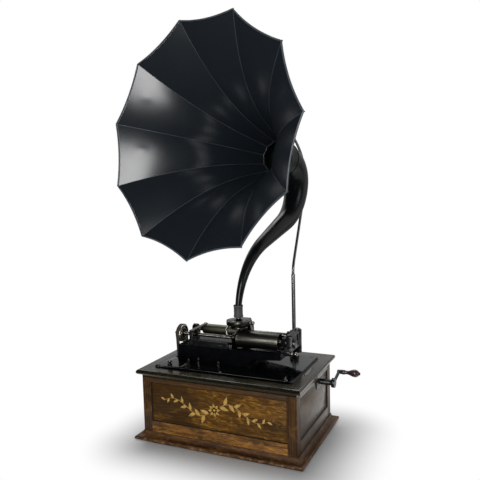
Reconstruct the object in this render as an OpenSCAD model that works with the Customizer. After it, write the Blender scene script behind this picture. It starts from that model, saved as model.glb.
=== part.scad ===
// Cylinder phonograph: oak cabinet, open top works and a swan neck horn hung from a rear crane.
// Millimetres. The origin is the middle of the cabinet's underside, on the table.
// +X points to the crank side, +Y to the back and +Z up.

/* [Cabinet] */
// Width of the lid frame over its moulded edge
lid_w = 455; // [440:1:475]
// Depth of the lid frame over its moulded edge
lid_d = 309; // [300:1:325]
// Height of the lid frame's top face
lid_top = 189; // [184:1:200]
// Thickness of the lid frame
lid_t = 21; // [18:1:24]
// Radius of the lid frame's rounded nose
lid_nose_r = 6.5; // [5:0.5:8]
// Overhang of the lid frame past the cabinet
lid_over = 12.5; // [11:0.5:16]
// Spread of the plinth past the cabinet
plinth_over = 20; // [17:0.5:25]
// Height of the plinth moulding
plinth_h = 22; // [18:1:26]
// Radius of the plinth's rounded nose
plinth_nose_r = 5; // [4:0.5:6]
// Thickness of the rails and the back board
wall_t = 13; // [11:1:16]
// Thickness of the inset panels
panel_t = 7; // [5:0.5:9]
// Depth of the inset panels behind the rails
panel_recess = 3.5; // [2:0.5:4]
// Width of the corner posts
post_w = 25; // [20:1:30]
// Height of the lower rails
rail_low_h = 50; // [42:1:60]
// Height of the upper rails
rail_up_h = 12; // [8:1:18]
// Thickness of the bottom board
floor_t = 10; // [8:1:12]

/* [Bedplate and casting] */
// Width of the bedplate
bed_w = 390; // [380:1:400]
// Depth of the bedplate
bed_d = 222; // [212:1:232]
// Middle of the bedplate, from the cabinet's middle to the back
bed_y = -7; // [-12:1:0]
// Thickness of the bedplate
bed_t = 5; // [4:0.5:7]
// Width of the bedplate's edge that lies on the lid frame
bed_lap = 12; // [8:1:16]
// Radius of the bedplate's corners
bed_corner_r = 10; // [6:1:14]
// Radius of the bedplate's rounded edge
bed_edge_r = 2; // [1:0.5:3]
// Gap between the pulley's middle and the casting's left end
cast_gap = 11; // [10:0.5:15]
// Reach of the casting to the right of the middle
cast_right = 140; // [136:1:146]
// Height of the casting above the bedplate
cast_h = 41; // [38:1:43]
// Front wall of the casting, ahead of the mandrel's axis
cast_front = 40; // [38:1:44]
// Rear wall of the casting, behind the mandrel's axis
cast_rear = 63; // [61:1:68]
// Splay of the casting's foot
cast_splay = 5; // [3:0.5:7]
// Wall of the casting
cast_wall = 8; // [6:0.5:9]
// Radius of the trough under the mandrel
trough_r = 32; // [31:0.5:34]
// Right end of the casting's foot on the bedplate
foot_right = 50; // [40:1:60]
// Radius of the arch beside the foot
arch_r = 21; // [18:1:22]
// Width of the bearing standards
stand_w = 12; // [10:1:13]

/* [Mandrel and pulley] */
// Mandrel's axis, from the cabinet's middle to the back
axis_y = -5; // [-8:1:-2]
// Mandrel's axis above the bedplate
axis_rise = 62; // [60:1:66]
// Left end of the mandrel
mandrel_x = 6; // [5:0.5:10]
// Length of the mandrel
mandrel_len = 118; // [114:1:120]
// Diameter of the mandrel at its left end
mandrel_d1 = 46.5; // [46:0.1:48]
// Diameter of the mandrel at its right end
mandrel_d2 = 43; // [42:0.1:44]
// Wall of the mandrel
mandrel_wall = 2.5; // [2:0.25:4]
// Diameter of the main shaft and its feed screw
shaft_d = 10; // [8:0.5:12]
// Diameter of the mandrel's pulley
pulley_d = 48; // [46:0.5:50]
// Middle of the pulleys, inside the bedplate's left edge
belt_in = 24; // [21:0.5:24]
// Width of the pulleys
pulley_w = 14; // [12:0.5:15]
// Width of the leather belt
belt_w = 10; // [8:0.5:11]
// Thickness of the leather belt
belt_t = 2; // [1.5:0.25:3]

/* [Carriage] */
// Back rod's axis, from the cabinet's middle to the back
rod_y = 42; // [41:0.5:44]
// Back rod's axis above the bedplate
rod_rise = 68; // [66:0.5:70]
// Diameter of the back rod
rod_d = 14; // [12:0.5:15]
// Diameter of the carriage's sleeve
sleeve_d = 21; // [19:0.5:22]
// Sleeve's reach to the left past the half nut's middle
sleeve_past = 6; // [5:0.5:8]
// Right end of the sleeve
sleeve_right = 22; // [18:1:24]
// Middle of the reproducer, to the right of the middle
eye_x = 6.5; // [5:0.5:9]
// Diameter of the carriage's eye
eye_d = 66; // [64:0.5:70]
// Thickness of the carriage's eye
eye_t = 10; // [8:0.5:11]
// Underside of the eye above the bedplate
eye_rise = 102; // [101:0.5:104]
// Diameter of the reproducer
repro_d = 54; // [52:0.5:56]
// Diameter of the reproducer's nozzle
nozzle_d = 12; // [10:0.5:13]
// Height of the nozzle's mouth above the bedplate
nozzle_rise = 135; // [132:0.5:137]
// Gap between the shaft's left bearing and the half nut, with the carriage at its start
nut_in = 4; // [3:0.5:6]
// Width of the half nut
nut_w = 10; // [8:0.5:12]

/* [Horn] */
// Turn of the horn to the left, degrees
horn_az = 12.9; // [10:0.1:16]
// Start of the neck above the bedplate
neck_rise = 141; // [140:0.5:146]
// Heading of the neck at its start, degrees
neck_h0 = 84; // [80:0.5:88]
// Heading of the neck along its straight, degrees
neck_h1 = 25; // [23:0.5:27]
// Radius of the neck's first bend
neck_r1 = 212; // [206:1:218]
// Length of the neck's straight
neck_straight = 120; // [116:1:124]
// Radius of the neck's second bend
neck_r2 = 125; // [121:1:129]
// Radius of the neck's top bend
neck_r3 = 74; // [72:0.5:78]
// Tilt of the bell above level, degrees
bell_tilt = 6; // [4:0.5:8]
// Outer radius of the neck at its start
neck_ra = 8.5; // [8:0.1:9]
// Outer radius of the neck at the bell
neck_rb = 46; // [44:0.5:47]
// Thickness of the neck's sheet
neck_t = 1.5; // [1:0.1:2]
// Number of panels in the bell
panels = 11; // [9:1:13]
// Radius of the bell over its seams at the rim
rim_r = 298; // [290:1:306]
// Length of the panels along the bell's axis
bell_len = 350; // [340:1:360]
// Radius of the panels at the ferrule
throat_r = 47; // [46.5:0.1:48]
// Inward bow of each panel's rim
rim_bow = 9; // [6:0.5:12]
// Thickness of the panels' sheet
sheet_t = 1; // [0.8:0.1:1.2]
// Height of the folded seams
seam_h = 4; // [3:0.5:5]
// Turn of the bell about its axis, degrees
bell_turn = -3; // [-6:0.5:6]
// Radius of the wired rim
wire_r = 2.2; // [1.8:0.1:2.8]
// Length of the ferrule ahead of the neck
ferrule_len = 33; // [31:0.5:36]
// Diameter of the rubber connector
rubber_d = 24; // [23:0.5:26]

/* [Crane] */
// Crane's post, to the right of the middle
crane_x = 101; // [98:0.5:104]
// Crane's post behind the cabinet's back
crane_back = 30; // [28:0.5:33]
// Diameter of the crane's socket tube
socket_d = 16; // [14:0.5:18]
// Foot of the socket tube above the table
socket_z = 40; // [36:1:46]
// Top of the socket tube above the lid frame
socket_rise = 43; // [40:1:46]
// Diameter of the bright post
post_d = 11; // [10:0.5:12]
// Top of the bright post above the lid frame
post_rise = 221; // [218:1:224]
// Diameter of the upper rod
crane_d = 8; // [7:0.5:9]
// Thickness of the bracket's plate
bracket_t = 4; // [3:0.5:6]

/* [Crank] */
// Diameter of the crank's shaft
crank_d = 11; // [10:0.5:12]
// Reach of the shaft past the cabinet's side
crank_reach = 34.5; // [31:0.5:38]
// Length of the crank's arm
crank_arm = 57; // [50:1:64]
// Rise of the crank's arm towards the back, degrees
crank_angle = 13; // [0:1:30]
// Diameter of the grip's stem
stem_d = 6; // [5:0.5:7]
// Length of the grip
grip_len = 43; // [38:1:48]
// Diameter of the grip
grip_d = 18; // [16:0.5:20]
// Length of the ferrule below the grip
crank_ferrule = 12; // [10:0.5:14]

/* [Motor] */
// Pulley shaft below the lid frame's top face
motor_drop = 41.7; // [41:0.1:44]
// Diameter of the drive pulley
drive_d = 32; // [30:0.5:34]
// Left plate of the motor, to the left of the middle
plate_left = 140; // [136:1:146]
// Right plate of the motor
plate_right = 88; // [86:1:92]
// Thickness of the motor's plates
plate_t = 4; // [3:0.5:5]
// Radius of the spring barrel
barrel_r = 42; // [40:0.5:44]
// Diameter of the spring's arbor
arbor_d = 10; // [9:0.5:11]
// Diameter of the wheel shafts
wheel_d = 8; // [7:0.5:9]

/* [Gate and controls] */
// Gap between the casting and the gate
gate_gap = 3; // [2:0.5:5]
// Thickness of the gate
gate_t = 14; // [12:0.5:16]
// Diameter of the gate's hinge pin
gate_pin_d = 8; // [7:0.5:9]
// Height of the gate
gate_h = 44; // [42:1:46]
// Latch ahead of the mandrel's axis
latch_y = 33; // [32:0.5:34]
// Diameter of the latch's rod
latch_d = 6; // [5:0.5:7]
// Diameter of the latch's ball
ball_d = 12; // [10:0.5:13]
// Start lever's pivot, inside the bedplate's left edge
lever_in = 95; // [91:1:99]
// Start lever's pivot behind the bedplate's front edge
lever_y = 10; // [8:0.5:14]
// Length of the start lever's front stretch
lever_len = 64; // [58:1:70]
// Diameter of the start lever's rod
lever_d = 5; // [4:0.5:6]

/* [Hidden] */
$fn = 64;

// Clearances: a shaft in its bearing, and faces that pass each other.
fit = 0.05;
gap = 0.3;
over = 1;

// Levels and outlines of the cabinet.
body_w = lid_w - 2 * lid_over;
body_d = lid_d - 2 * lid_over;
body_top = lid_top - lid_t;
plinth_lip = 2;
fillet = 0.5;
lid_cove = min(lid_t - 2 * lid_nose_r, lid_over - lid_nose_r - fillet);
plinth_cove = min(plinth_h - 2 * plinth_nose_r, plinth_over - plinth_lip - plinth_nose_r - fillet);
quirk = 1.6;
reeds = 3;
reed_in = 3.2;
inner_x = body_w / 2 - post_w;
inner_y = body_d / 2 - post_w;
bed_top = lid_top + bed_t;
hole_w = bed_w - 2 * bed_lap;
hole_d = bed_d - 2 * bed_lap;

// Axes of the top works.
pulley_x = bed_w / 2 - belt_in;
cast_left = pulley_x - cast_gap;
lever_x = bed_w / 2 - lever_in;
axis_z = bed_top + axis_rise;
rod_z = bed_top + rod_rise;
cast_top = bed_top + cast_h;
shaft_r = shaft_d / 2;
rod_r = rod_d / 2;
eye_z = bed_top + eye_rise;
shaft_left = pulley_x + pulley_w / 2 + 10;
shaft_right = mandrel_x + mandrel_len + 5;
stand_x = -cast_left + 2;
bearing_x = -cast_left + 22;
bearing_w = 9;
nut_x = -bearing_x - bearing_w - nut_in - nut_w / 2;
sleeve_left = nut_x + sleeve_past;
gate_x = cast_right + gate_gap;
gate_mid = gate_x + gate_t / 2 + 6;
gate_z = axis_z - 18;
latch_z = axis_z - 18;

// The motor's wheel train: module and teeth of each pair, all shafts parallel to the mandrel.
wind_m = 2;
wind_z = [12, 24];
great_m = 1.5;
great_z = [14, 70];
train_m = 1;
train_z = [14, 56];
wind_c = wind_m * (wind_z[0] + wind_z[1]) / 2;
great_c = great_m * (great_z[0] + great_z[1]) / 2;
train_c = train_m * (train_z[0] + train_z[1]) / 2;
great_angle = 4.6;
wind_angle = 96;
governor_angle = 150;
pulley_at = [axis_y, lid_top - motor_drop];
wheel_at = pulley_at - [0, train_c];
arbor_at = wheel_at + great_c * [cos(great_angle), -sin(great_angle)];
crank_at = arbor_at + wind_c * [cos(wind_angle), sin(wind_angle)];
governor_at = pulley_at + train_c * [cos(governor_angle), sin(governor_angle)];
great_x = [-58, -52];
train_x = [-84, -79];
speed_x = [-104, -99];
wind_x = plate_right + plate_t + 4;
wind_w = 8;
barrel_x = [-50, 80];
weight_r = 17;

// The horn's neck as points [back, up, heading, length], in the horn's own upright plane.
neck_z = bed_top + neck_rise;
bell_h = 180 - bell_tilt;
deg = PI / 180;
function bend_cw(p, r, h) =
  [p[0] + r * (sin(p[2]) - sin(h)), p[1] + r * (cos(h) - cos(p[2])), h, p[3] + r * (p[2] - h) * deg];
function bend_ccw(p, r, h) =
  [p[0] + r * (sin(h) - sin(p[2])), p[1] + r * (cos(p[2]) - cos(h)), h, p[3] + r * (h - p[2]) * deg];
function ahead(p, d) = [p[0] + d * cos(p[2]), p[1] + d * sin(p[2]), p[2], p[3] + d];
neck_a = [0, neck_z, neck_h0, 0];
neck_b = bend_cw(neck_a, neck_r1, neck_h1);
neck_c = ahead(neck_b, neck_straight);
neck_d = bend_ccw(neck_c, neck_r2, 90);
neck_e = bend_ccw(neck_d, neck_r3, bell_h);
neck_path = concat(
  [for (i = [0:7]) bend_cw(neck_a, neck_r1, neck_h0 + (neck_h1 - neck_h0) * i / 7)],
  [for (i = [1:3]) ahead(neck_b, neck_straight * i / 3)],
  [for (i = [1:7]) bend_ccw(neck_c, neck_r2, neck_h1 + (90 - neck_h1) * i / 7)],
  [for (i = [1:9]) bend_ccw(neck_d, neck_r3, 90 + (bell_h - 90) * i / 9)]);
function neck_r(p) = neck_ra + (neck_rb - neck_ra) * pow(p[3] / neck_e[3], 1.25);

// The bell: seam radius along the panels, and a point of a panel's section.
function flare(t) = throat_r + (rim_r - throat_r) * (0.42 * t + 0.58 * t * t * t);
function slope(t) = (rim_r - throat_r) * (0.42 + 1.74 * t * t) / bell_len;
function seam_at(k) = bell_turn - 90 + 360 * k / panels;
function polar(r, a) = r * [cos(a), sin(a)];
function bowed(t, k, f, out) =
  let (a = polar(flare(t), seam_at(k)), b = polar(flare(t), seam_at(k + 1)))
  let (mid = polar(1, seam_at(k + 0.5)))
  a + (b - a) * f - mid * (4 * f * (1 - f) * rim_bow * flare(t) / rim_r - out);

// The crane's post, and the hand chosen route of its upper rod: first from the post's top, then at given
// distances behind the mandrel's axis, where the horn stands.
crane_y = body_d / 2 + crane_back;
post_top = lid_top + post_rise;
rod_foot = [[0, 0, 0], [0, 1, 14], [-1, 8, 28]];
rod_reach = [
  [-4, 207, 54], [-16, 307, 172], [-18, 329, 200], [-19, 346, 232], [-18, 354, 266], [-18, 350, 306],
  [-20, 339, 336], [-22, 321, 362], [-28, 290, 394], [-35, 260, 412], [-41, 233, 420], [-45, 213, 418]
];
rod_route = concat(
  [for (p = rod_foot) p + [crane_x, crane_y, post_top]],
  [for (p = rod_reach) p + [crane_x, axis_y, post_top]]);
link_at = 13;
link_pt = rod_route[link_at];
link_r = 1.75;
link_w = 6.5;
link_drop = 18.5;
eye_major = 10;
eye_minor = 2;
eye_play = 3;
link_gap = 0.9;
ferrule_r = max(neck_rb, throat_r - sheet_t) + gap;
ferrule_t = 1.7;

// Crank.
crank_x = body_w / 2 + crank_reach;
crank_dir = [0, cos(crank_angle), sin(crank_angle)];
stem_at = [crank_x, crank_at[0], crank_at[1]] + crank_arm * crank_dir;
grip_x = crank_x + crank_ferrule;
crank_hub_r = 12.5;
crank_hub_w = 8.4;

function unit(v) = v / norm(v);
function tri(a, b, c, d) = [[a, b, c], [a, c, d]];

// Faces of a tube of m rings of n points, counted from point s. Turn is 1 for an outer skin, 0 for a bore.
function skin(m, n, s, turn) = [for (i = [0:m - 2], k = [0:n - 1])
  let (a = s + i * n + k, b = s + i * n + (k + 1) % n, c = b + n, d = a + n)
  each (turn == 1 ? tri(a, d, c, b) : tri(a, b, c, d))];

// One solid swept through rings of points; caps cover a ring that isn't convex.
module lofted(rings, caps = []) {
  n = len(rings[0]);
  m = len(rings);
  first = len(caps) > 0 ? caps : [[for (k = [0:n - 1]) k]];
  last = [for (f = first) [for (j = [len(f) - 1:-1:0]) (m - 1) * n + f[j]]];
  polyhedron([for (r = rings) each r], concat(skin(m, n, 0, 1), first, last), convexity = 6);
}

// A rod along points; side is a direction that the route never follows.
module swept(route, r, n, side) {
  last = len(route) - 1;
  lofted([for (i = [0:last])
    let (t = unit(route[min(i + 1, last)] - route[max(i - 1, 0)]), u = unit(cross(t, side)), v = cross(t, u))
    [for (k = [0:n - 1]) route[i] + r * (cos(360 * k / n) * u + sin(360 * k / n) * v)]]);
}

// Cylinders along X, and between two points.
module shaft_x(x0, x1, at, r) {
  translate([x0, at[0], at[1]]) rotate([0, 90, 0]) cylinder(h = x1 - x0, r = r);
}
module bar(p, q, r) {
  v = q - p;
  translate(p) rotate([0, acos(v[2] / norm(v)), atan2(v[1], v[0])]) cylinder(h = norm(v), r = r);
}
// An outline drawn in [Y, Z], made solid from x0 to x1.
module slab_x(x0, x1) {
  translate([x0, 0, 0]) rotate([90, 0, 90]) linear_extrude(x1 - x0) children();
}
// A profile of [radius, along], turned about an axis along X.
module turned_x(x, at) {
  translate([x, at[0], at[1]]) rotate([0, 90, 0]) rotate_extrude() children();
}
module round_rect(w, d, r) {
  square([w, d - 2 * r], center = true);
  square([w - 2 * r, d], center = true);
  for (x = [-1, 1], y = [-1, 1]) translate([x * (w / 2 - r), y * (d / 2 - r)]) circle(r);
}

// Cabinet joinery.

// One mitred rail of a moulded frame; k counts back, left, front, right, the profile's x points outwards.
function box_corners(b) = [[b[2], b[3]], [b[0], b[3]], [b[0], b[1]], [b[2], b[1]], [b[2], b[3]]];
module mitred(k, outer, inner, z, h) {
  o = box_corners(outer);
  i = box_corners(inner);
  half = k % 2 == 0 ? outer[3] : outer[2];
  run = k % 2 == 0 ? outer[2] - outer[0] : outer[3] - outer[1];
  intersection() {
    translate([0, 0, z - over]) linear_extrude(h + 2 * over) polygon([o[k], o[k + 1], i[k + 1], i[k]]);
    rotate([0, 0, 90 * k]) translate([-run / 2, half, z]) rotate([90, 0, 90]) linear_extrude(run) children();
  }
}
// Points of an arc round c, from angle a0 to a1.
arc_steps = 6;
function arc(c, r, a0, a1) = [for (i = [0:arc_steps]) c + polar(r, a0 + (a1 - a0) * i / arc_steps)];
module plinth_profile() {
  polygon(concat(
    [[-plinth_over, 0]],
    arc([-plinth_nose_r, plinth_nose_r], plinth_nose_r, -90, 90),
    arc([-plinth_over + plinth_lip + plinth_cove, 2 * plinth_nose_r + plinth_cove], plinth_cove, 270, 180),
    [[-plinth_over + plinth_lip, plinth_h], [-plinth_over, plinth_h]]));
}
module plinth_moulding() {
  w = body_w / 2;
  d = body_d / 2;
  outer = [-w - plinth_over, -d - plinth_over, w + plinth_over, d + plinth_over];
  color("#4a3320") for (k = [0:3]) mitred(k, outer, [-w, -d, w, d], 0, plinth_h) plinth_profile();
}
module lid_profile(width) {
  polygon(concat(
    [[-width, 0], [-lid_over, 0]],
    arc([-lid_over + lid_cove, lid_t - 2 * lid_nose_r - lid_cove], lid_cove, 180, 90),
    arc([-lid_nose_r, lid_t - lid_nose_r], lid_nose_r, -90, 90),
    [[-width, lid_t]]));
}
module lid_frame() {
  w = lid_w / 2;
  d = lid_d / 2;
  hole = [-hole_w / 2, bed_y - hole_d / 2, hole_w / 2, bed_y + hole_d / 2];
  color("#54431f") for (k = [0:3])
    mitred(k, [-w, -d, w, d], hole, body_top, lid_t) lid_profile(max(lid_w, lid_d) / 2);
}
module corner_posts() {
  pitch = (post_w - 2 * reed_in) / reeds;
  color("#6b4a24") for (x = [0, 1]) mirror([x, 0, 0]) {
    translate([inner_x, inner_y, 0]) cube([post_w, post_w, body_top]);
    difference() {
      translate([inner_x, -body_d / 2, 0]) cube([post_w, post_w, body_top]);
      for (k = [0:reeds])
        translate([body_w / 2 - reed_in - k * pitch - quirk / 2, -body_d / 2 - over, plinth_h])
        cube([quirk, quirk + over, body_top]);
    }
  }
}
module front_rails() {
  color("#8a6130") {
    translate([-inner_x, -body_d / 2, 0]) cube([2 * inner_x, wall_t, rail_low_h]);
    translate([-inner_x, -body_d / 2, body_top - rail_up_h]) cube([2 * inner_x, wall_t, rail_up_h]);
  }
}
module side_rails() {
  color("#6f5029") for (x = [0, 1]) mirror([x, 0, 0]) {
    translate([body_w / 2 - wall_t, -inner_y, 0]) cube([wall_t, 2 * inner_y, rail_low_h]);
    translate([body_w / 2 - wall_t, -inner_y, body_top - rail_up_h]) cube([wall_t, 2 * inner_y, rail_up_h]);
  }
}
panel_h = body_top - rail_up_h - rail_low_h;
module front_panel() {
  color("#7d5629") translate([-inner_x, -body_d / 2 + panel_recess, rail_low_h])
    cube([2 * inner_x, panel_t, panel_h]);
}
module side_panel() {
  translate([body_w / 2 - panel_recess - panel_t, -inner_y, rail_low_h]) cube([panel_t, 2 * inner_y, panel_h]);
}
module left_panel() {
  color("#7d5629") mirror([1, 0, 0]) side_panel();
}
crank_hole = crank_d / 2 + 2;
sleeve_r = 7.8;
plate_size = [50, 25];
module right_panel() {
  color("#7d5629") difference() {
    side_panel();
    shaft_x(body_w / 2 - wall_t - over, body_w / 2 + over, crank_at, crank_hole);
  }
}
module back_panel() {
  color("#5d4122") translate([-inner_x, body_d / 2 - wall_t, 0]) cube([2 * inner_x, wall_t, body_top]);
}
module bottom_board() {
  notch = post_w - wall_t;
  color("#6a5030") difference() {
    translate([-body_w / 2 + wall_t, -body_d / 2 + wall_t, 0])
      cube([body_w - 2 * wall_t, body_d - 2 * wall_t, floor_t]);
    for (x = [0, 1], y = [0, 1]) mirror([x, 0, 0]) mirror([0, y, 0])
      translate([inner_x, inner_y, -over]) cube([notch + over, notch + over, floor_t + 2 * over]);
  }
}
catch_len = 66;
catch_w = 8;
catch_gap = 5.5;
module catch_plate() {
  color("#b9b4a6") translate([bed_w / 2 + catch_gap + catch_w / 2, bed_y - catch_gap, lid_top])
    linear_extrude(1.2) round_rect(catch_w, catch_len, catch_w / 2 - 0.1);
}
module crank_escutcheon() {
  face = body_w / 2 - panel_recess;
  end = crank_x - crank_hub_w / 2 - 2;
  color("#3b3a38") difference() {
    union() {
      slab_x(face, face + 2.5) translate(crank_at - [9, 0.5]) round_rect(plate_size[0], plate_size[1], 6);
      shaft_x(face, end, crank_at, sleeve_r);
      shaft_x(face - panel_t, face, crank_at, crank_hole);
    }
    shaft_x(face - panel_t - over, end + over, crank_at, crank_d / 2 + gap / 2);
  }
}

// Bedplate and what stands on it.

module bedplate() {
  e = bed_edge_r;
  skirt = 6;
  slot = [pulley_w + 3, pulley_d + 12];
  color("#16171a") difference() {
    translate([0, bed_y, lid_top]) {
      linear_extrude(bed_t - e) round_rect(bed_w, bed_d, bed_corner_r);
      linear_extrude(bed_t) round_rect(bed_w - 2 * e, bed_d - 2 * e, bed_corner_r - e);
      for (x = [-1, 1], y = [-1, 1])
        translate([x * (bed_w / 2 - bed_corner_r), y * (bed_d / 2 - bed_corner_r), bed_t - e])
        rotate_extrude() translate([bed_corner_r - e, 0]) circle(e, $fn = 32);
      for (y = [-1, 1]) translate([-bed_w / 2 + bed_corner_r, y * (bed_d / 2 - e), bed_t - e])
        rotate([0, 90, 0]) cylinder(h = bed_w - 2 * bed_corner_r, r = e);
      for (x = [-1, 1]) translate([x * (bed_w / 2 - e), bed_d / 2 - bed_corner_r, bed_t - e])
        rotate([90, 0, 0]) cylinder(h = bed_d - 2 * bed_corner_r, r = e);
      translate([0, 0, -skirt]) linear_extrude(skirt + over) difference() {
        square([hole_w - 2 * gap, hole_d - 2 * gap], center = true);
        square([hole_w - 2 * skirt, hole_d - 2 * skirt], center = true);
      }
    }
    translate([-pulley_x, axis_y, lid_top]) linear_extrude(3 * bed_t, center = true)
      round_rect(slot[0], slot[1], slot[0] / 2 - 0.1);
  }
}
// Bright oval head screws round the bedplate's margin.
screw_r = 4.5;
screw_in = 9;
module bedplate_screws() {
  dome = 2;
  ball = (screw_r * screw_r + dome * dome) / (2 * dome);
  color("#a9a49a") for (x = [-1, 0, 1], y = [-1, 1])
    translate([x * (bed_w / 2 - 2 * screw_in), bed_y + y * (bed_d / 2 - screw_in), bed_top]) intersection() {
      translate([0, 0, dome - ball]) sphere(ball);
      cylinder(h = dome + over, r = screw_r + over);
    }
}
module oil_cups() {
  cups = [[-88, 12], [-28, 8], [-118, 6]];
  color("#b7b3a8") for (c = cups) translate([c[0], axis_y - cast_front - cast_splay - 14, bed_top]) {
    cylinder(h = 2, r = 5);
    cylinder(h = c[1], r = 2.6);
    translate([0, 0, c[1]]) sphere(3.8);
  }
}

// Casting: a trough on a hollow foot, with an overhanging right arm and three standards.
front_y = axis_y - cast_front;
rear_y = axis_y + cast_rear;
ear_z = cast_top - 14;
hinge_y = rod_y;
module foot_section() {
  polygon([
    [front_y - cast_splay, bed_top], [rear_y + cast_splay, bed_top], [rear_y, cast_top], [front_y, cast_top]]);
}
module side_view() {
  difference() {
    translate([-cast_left, bed_top]) square([cast_left + cast_right, cast_h]);
    translate([foot_right + arch_r, bed_top]) circle(arch_r);
    polygon([[foot_right + arch_r, bed_top - over], [cast_right + over, bed_top - over],
      [cast_right + over, bed_top + arch_r + 5], [foot_right + arch_r, bed_top + arch_r]]);
  }
}
module stand(at, r) {
  translate([at[0], at[1]]) circle(r);
  translate([at[0] - r, cast_top - over]) square([2 * r, at[1] - cast_top + over]);
}
// Hollowed web that props the left bearing.
web_l = 18;
web_h = 14;
web_t = 8;
module body_casting() {
  hollow_top = axis_z - trough_r - cast_wall;
  color("#15161a") difference() {
    union() {
      difference() {
        intersection() {
          slab_x(-cast_left, cast_right) foot_section();
          translate([0, rear_y + 2 * cast_splay, 0]) rotate([90, 0, 0])
            linear_extrude(cast_front + cast_rear + 4 * cast_splay) side_view();
        }
        shaft_x(bearing_x + bearing_w, cast_right + over, [axis_y, axis_z], trough_r);
        translate([-cast_left + cast_wall, front_y + cast_wall, bed_top - over])
          cube([
            cast_left + foot_right - 2 * cast_wall, cast_front + cast_rear - 2 * cast_wall,
            hollow_top - bed_top + over]);
      }
      slab_x(bearing_x, bearing_x + bearing_w) stand([axis_y, axis_z], shaft_r + 6);
      slab_x(stand_x, stand_x + stand_w) stand([rod_y, rod_z], rod_r + 5);
      translate([bearing_x, axis_y + web_t / 2, cast_top - over])
        rotate([90, 0, 0]) linear_extrude(web_t) difference() {
        translate([-web_l, 0]) square([web_l + over, web_h + over]);
        translate([-web_l, web_h + over]) scale([web_l / web_h, 1]) circle(web_h - fillet);
      }
      slab_x(cast_right - stand_w, cast_right) stand([rod_y, rod_z], rod_r + 5);
      slab_x(mandrel_x - 18, mandrel_x - 9) {
        translate([axis_y, axis_z]) circle(shaft_r + 6);
        translate([axis_y - 8, axis_z - trough_r - 2]) square([16, trough_r + 2]);
      }
      translate([cast_right - stand_w, hinge_y - 11, ear_z])
        cube([gate_mid - cast_right + stand_w, 22, gate_z - gap - ear_z]);
      translate([gate_mid, hinge_y, ear_z]) cylinder(h = gate_z - gap - ear_z, r = 11);
      shaft_x(cast_right - stand_w, cast_right, [axis_y - latch_y, latch_z], latch_d / 2 + 4.5);
    }
    shaft_x(-cast_left - over, cast_right + over, [axis_y, axis_z], shaft_r + fit);
    shaft_x(-cast_left - over, cast_right + over, [rod_y, rod_z], rod_r + fit);
    translate([gate_mid, hinge_y, ear_z - over])
      cylinder(h = gate_z - ear_z + 2 * over, r = gate_pin_d / 2 + fit);
    translate([cast_right + gap, axis_y - latch_y, latch_z]) rotate([0, -90, 0])
      cylinder(h = latch_d / 2 + gap, r1 = latch_d / 2 + 2 * gap, r2 = gap);
  }
}
// Straight bar on the casting's front wall, under the feed nut's foot.
bar_h = 16;
bar_t = 8;
module guide_bar() {
  color("#232427") difference() {
    translate([-nut_x - 8, front_y + 1, cast_top]) cube([nut_x - 2, bar_t, bar_h]);
    for (x = [-nut_x + 4, -22]) translate([x, front_y, cast_top + bar_h / 2]) rotate([90, 0, 0])
      cylinder(h = 3, r = 3, center = true);
  }
}
module gate_pin() {
  top = gate_z + gate_h;
  color("#a8a59c") translate([gate_mid, hinge_y, 0]) {
    translate([0, 0, ear_z]) cylinder(h = top + gap - ear_z, r = gate_pin_d / 2);
    translate([0, 0, top + gap]) cylinder(h = 2.5, r = gate_pin_d / 2 + 2.5);
  }
}

// Start lever's pivot and the speed screw's bracket.
lever_at = [-lever_x, bed_y - bed_d / 2 + lever_y, bed_top];
screw_at = [-lever_x - 50, lever_at[1], bed_top];
lever_z = 6;
module control_posts() {
  color("#1c1d20") {
    translate(lever_at) cylinder(h = lever_z - hub_h / 2 - gap, r = 7);
    translate(lever_at) cylinder(h = lever_z + hub_h / 2 + 1, r = 2.5);
    translate(lever_at + [0, 0, lever_z + hub_h / 2 + gap]) cylinder(h = 2, r = 5);
    translate(screw_at) difference() {
      cylinder(h = 7, r = 6.5);
      translate([0, 0, 2]) cylinder(h = 6, r = 2.5 + fit);
    }
  }
}
hub_h = lever_d + 1;
knob = 9;
module start_lever() {
  bend = lever_at + [-9, -22, lever_z];
  tip = bend + [-lever_len, -7, 0];
  hub = lever_at + [0, 0, lever_z];
  color("#1a1b1e") {
    difference() {
      translate(hub) cylinder(h = hub_h, r = 6.5, center = true);
      translate(hub) cylinder(h = 3 * hub_h, r = 2.5 + fit, center = true);
    }
    bar(hub + 0.2 * (bend - hub), bend, lever_d / 2);
    translate(bend) cylinder(h = lever_d + 1, r = lever_d / 2 + 0.5, center = true);
    bar(bend, tip, lever_d / 2);
    bar(tip - knob * unit(tip - bend), tip, lever_d - 0.5);
  }
}
module speed_screw() {
  color("#b4afa3") translate(screw_at) {
    translate([0, 0, 2 + gap]) cylinder(h = 7, r = 2.5);
    translate([0, 0, 7 + gap]) cylinder(h = 3, r = 3.5);
    translate([0, 0, 10]) cylinder(h = 4.5, r = 6);
    translate([0, 0, 14]) cylinder(h = 1.5, r1 = 5, r2 = 3.5);
  }
}

// Crane behind the cabinet.

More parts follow.
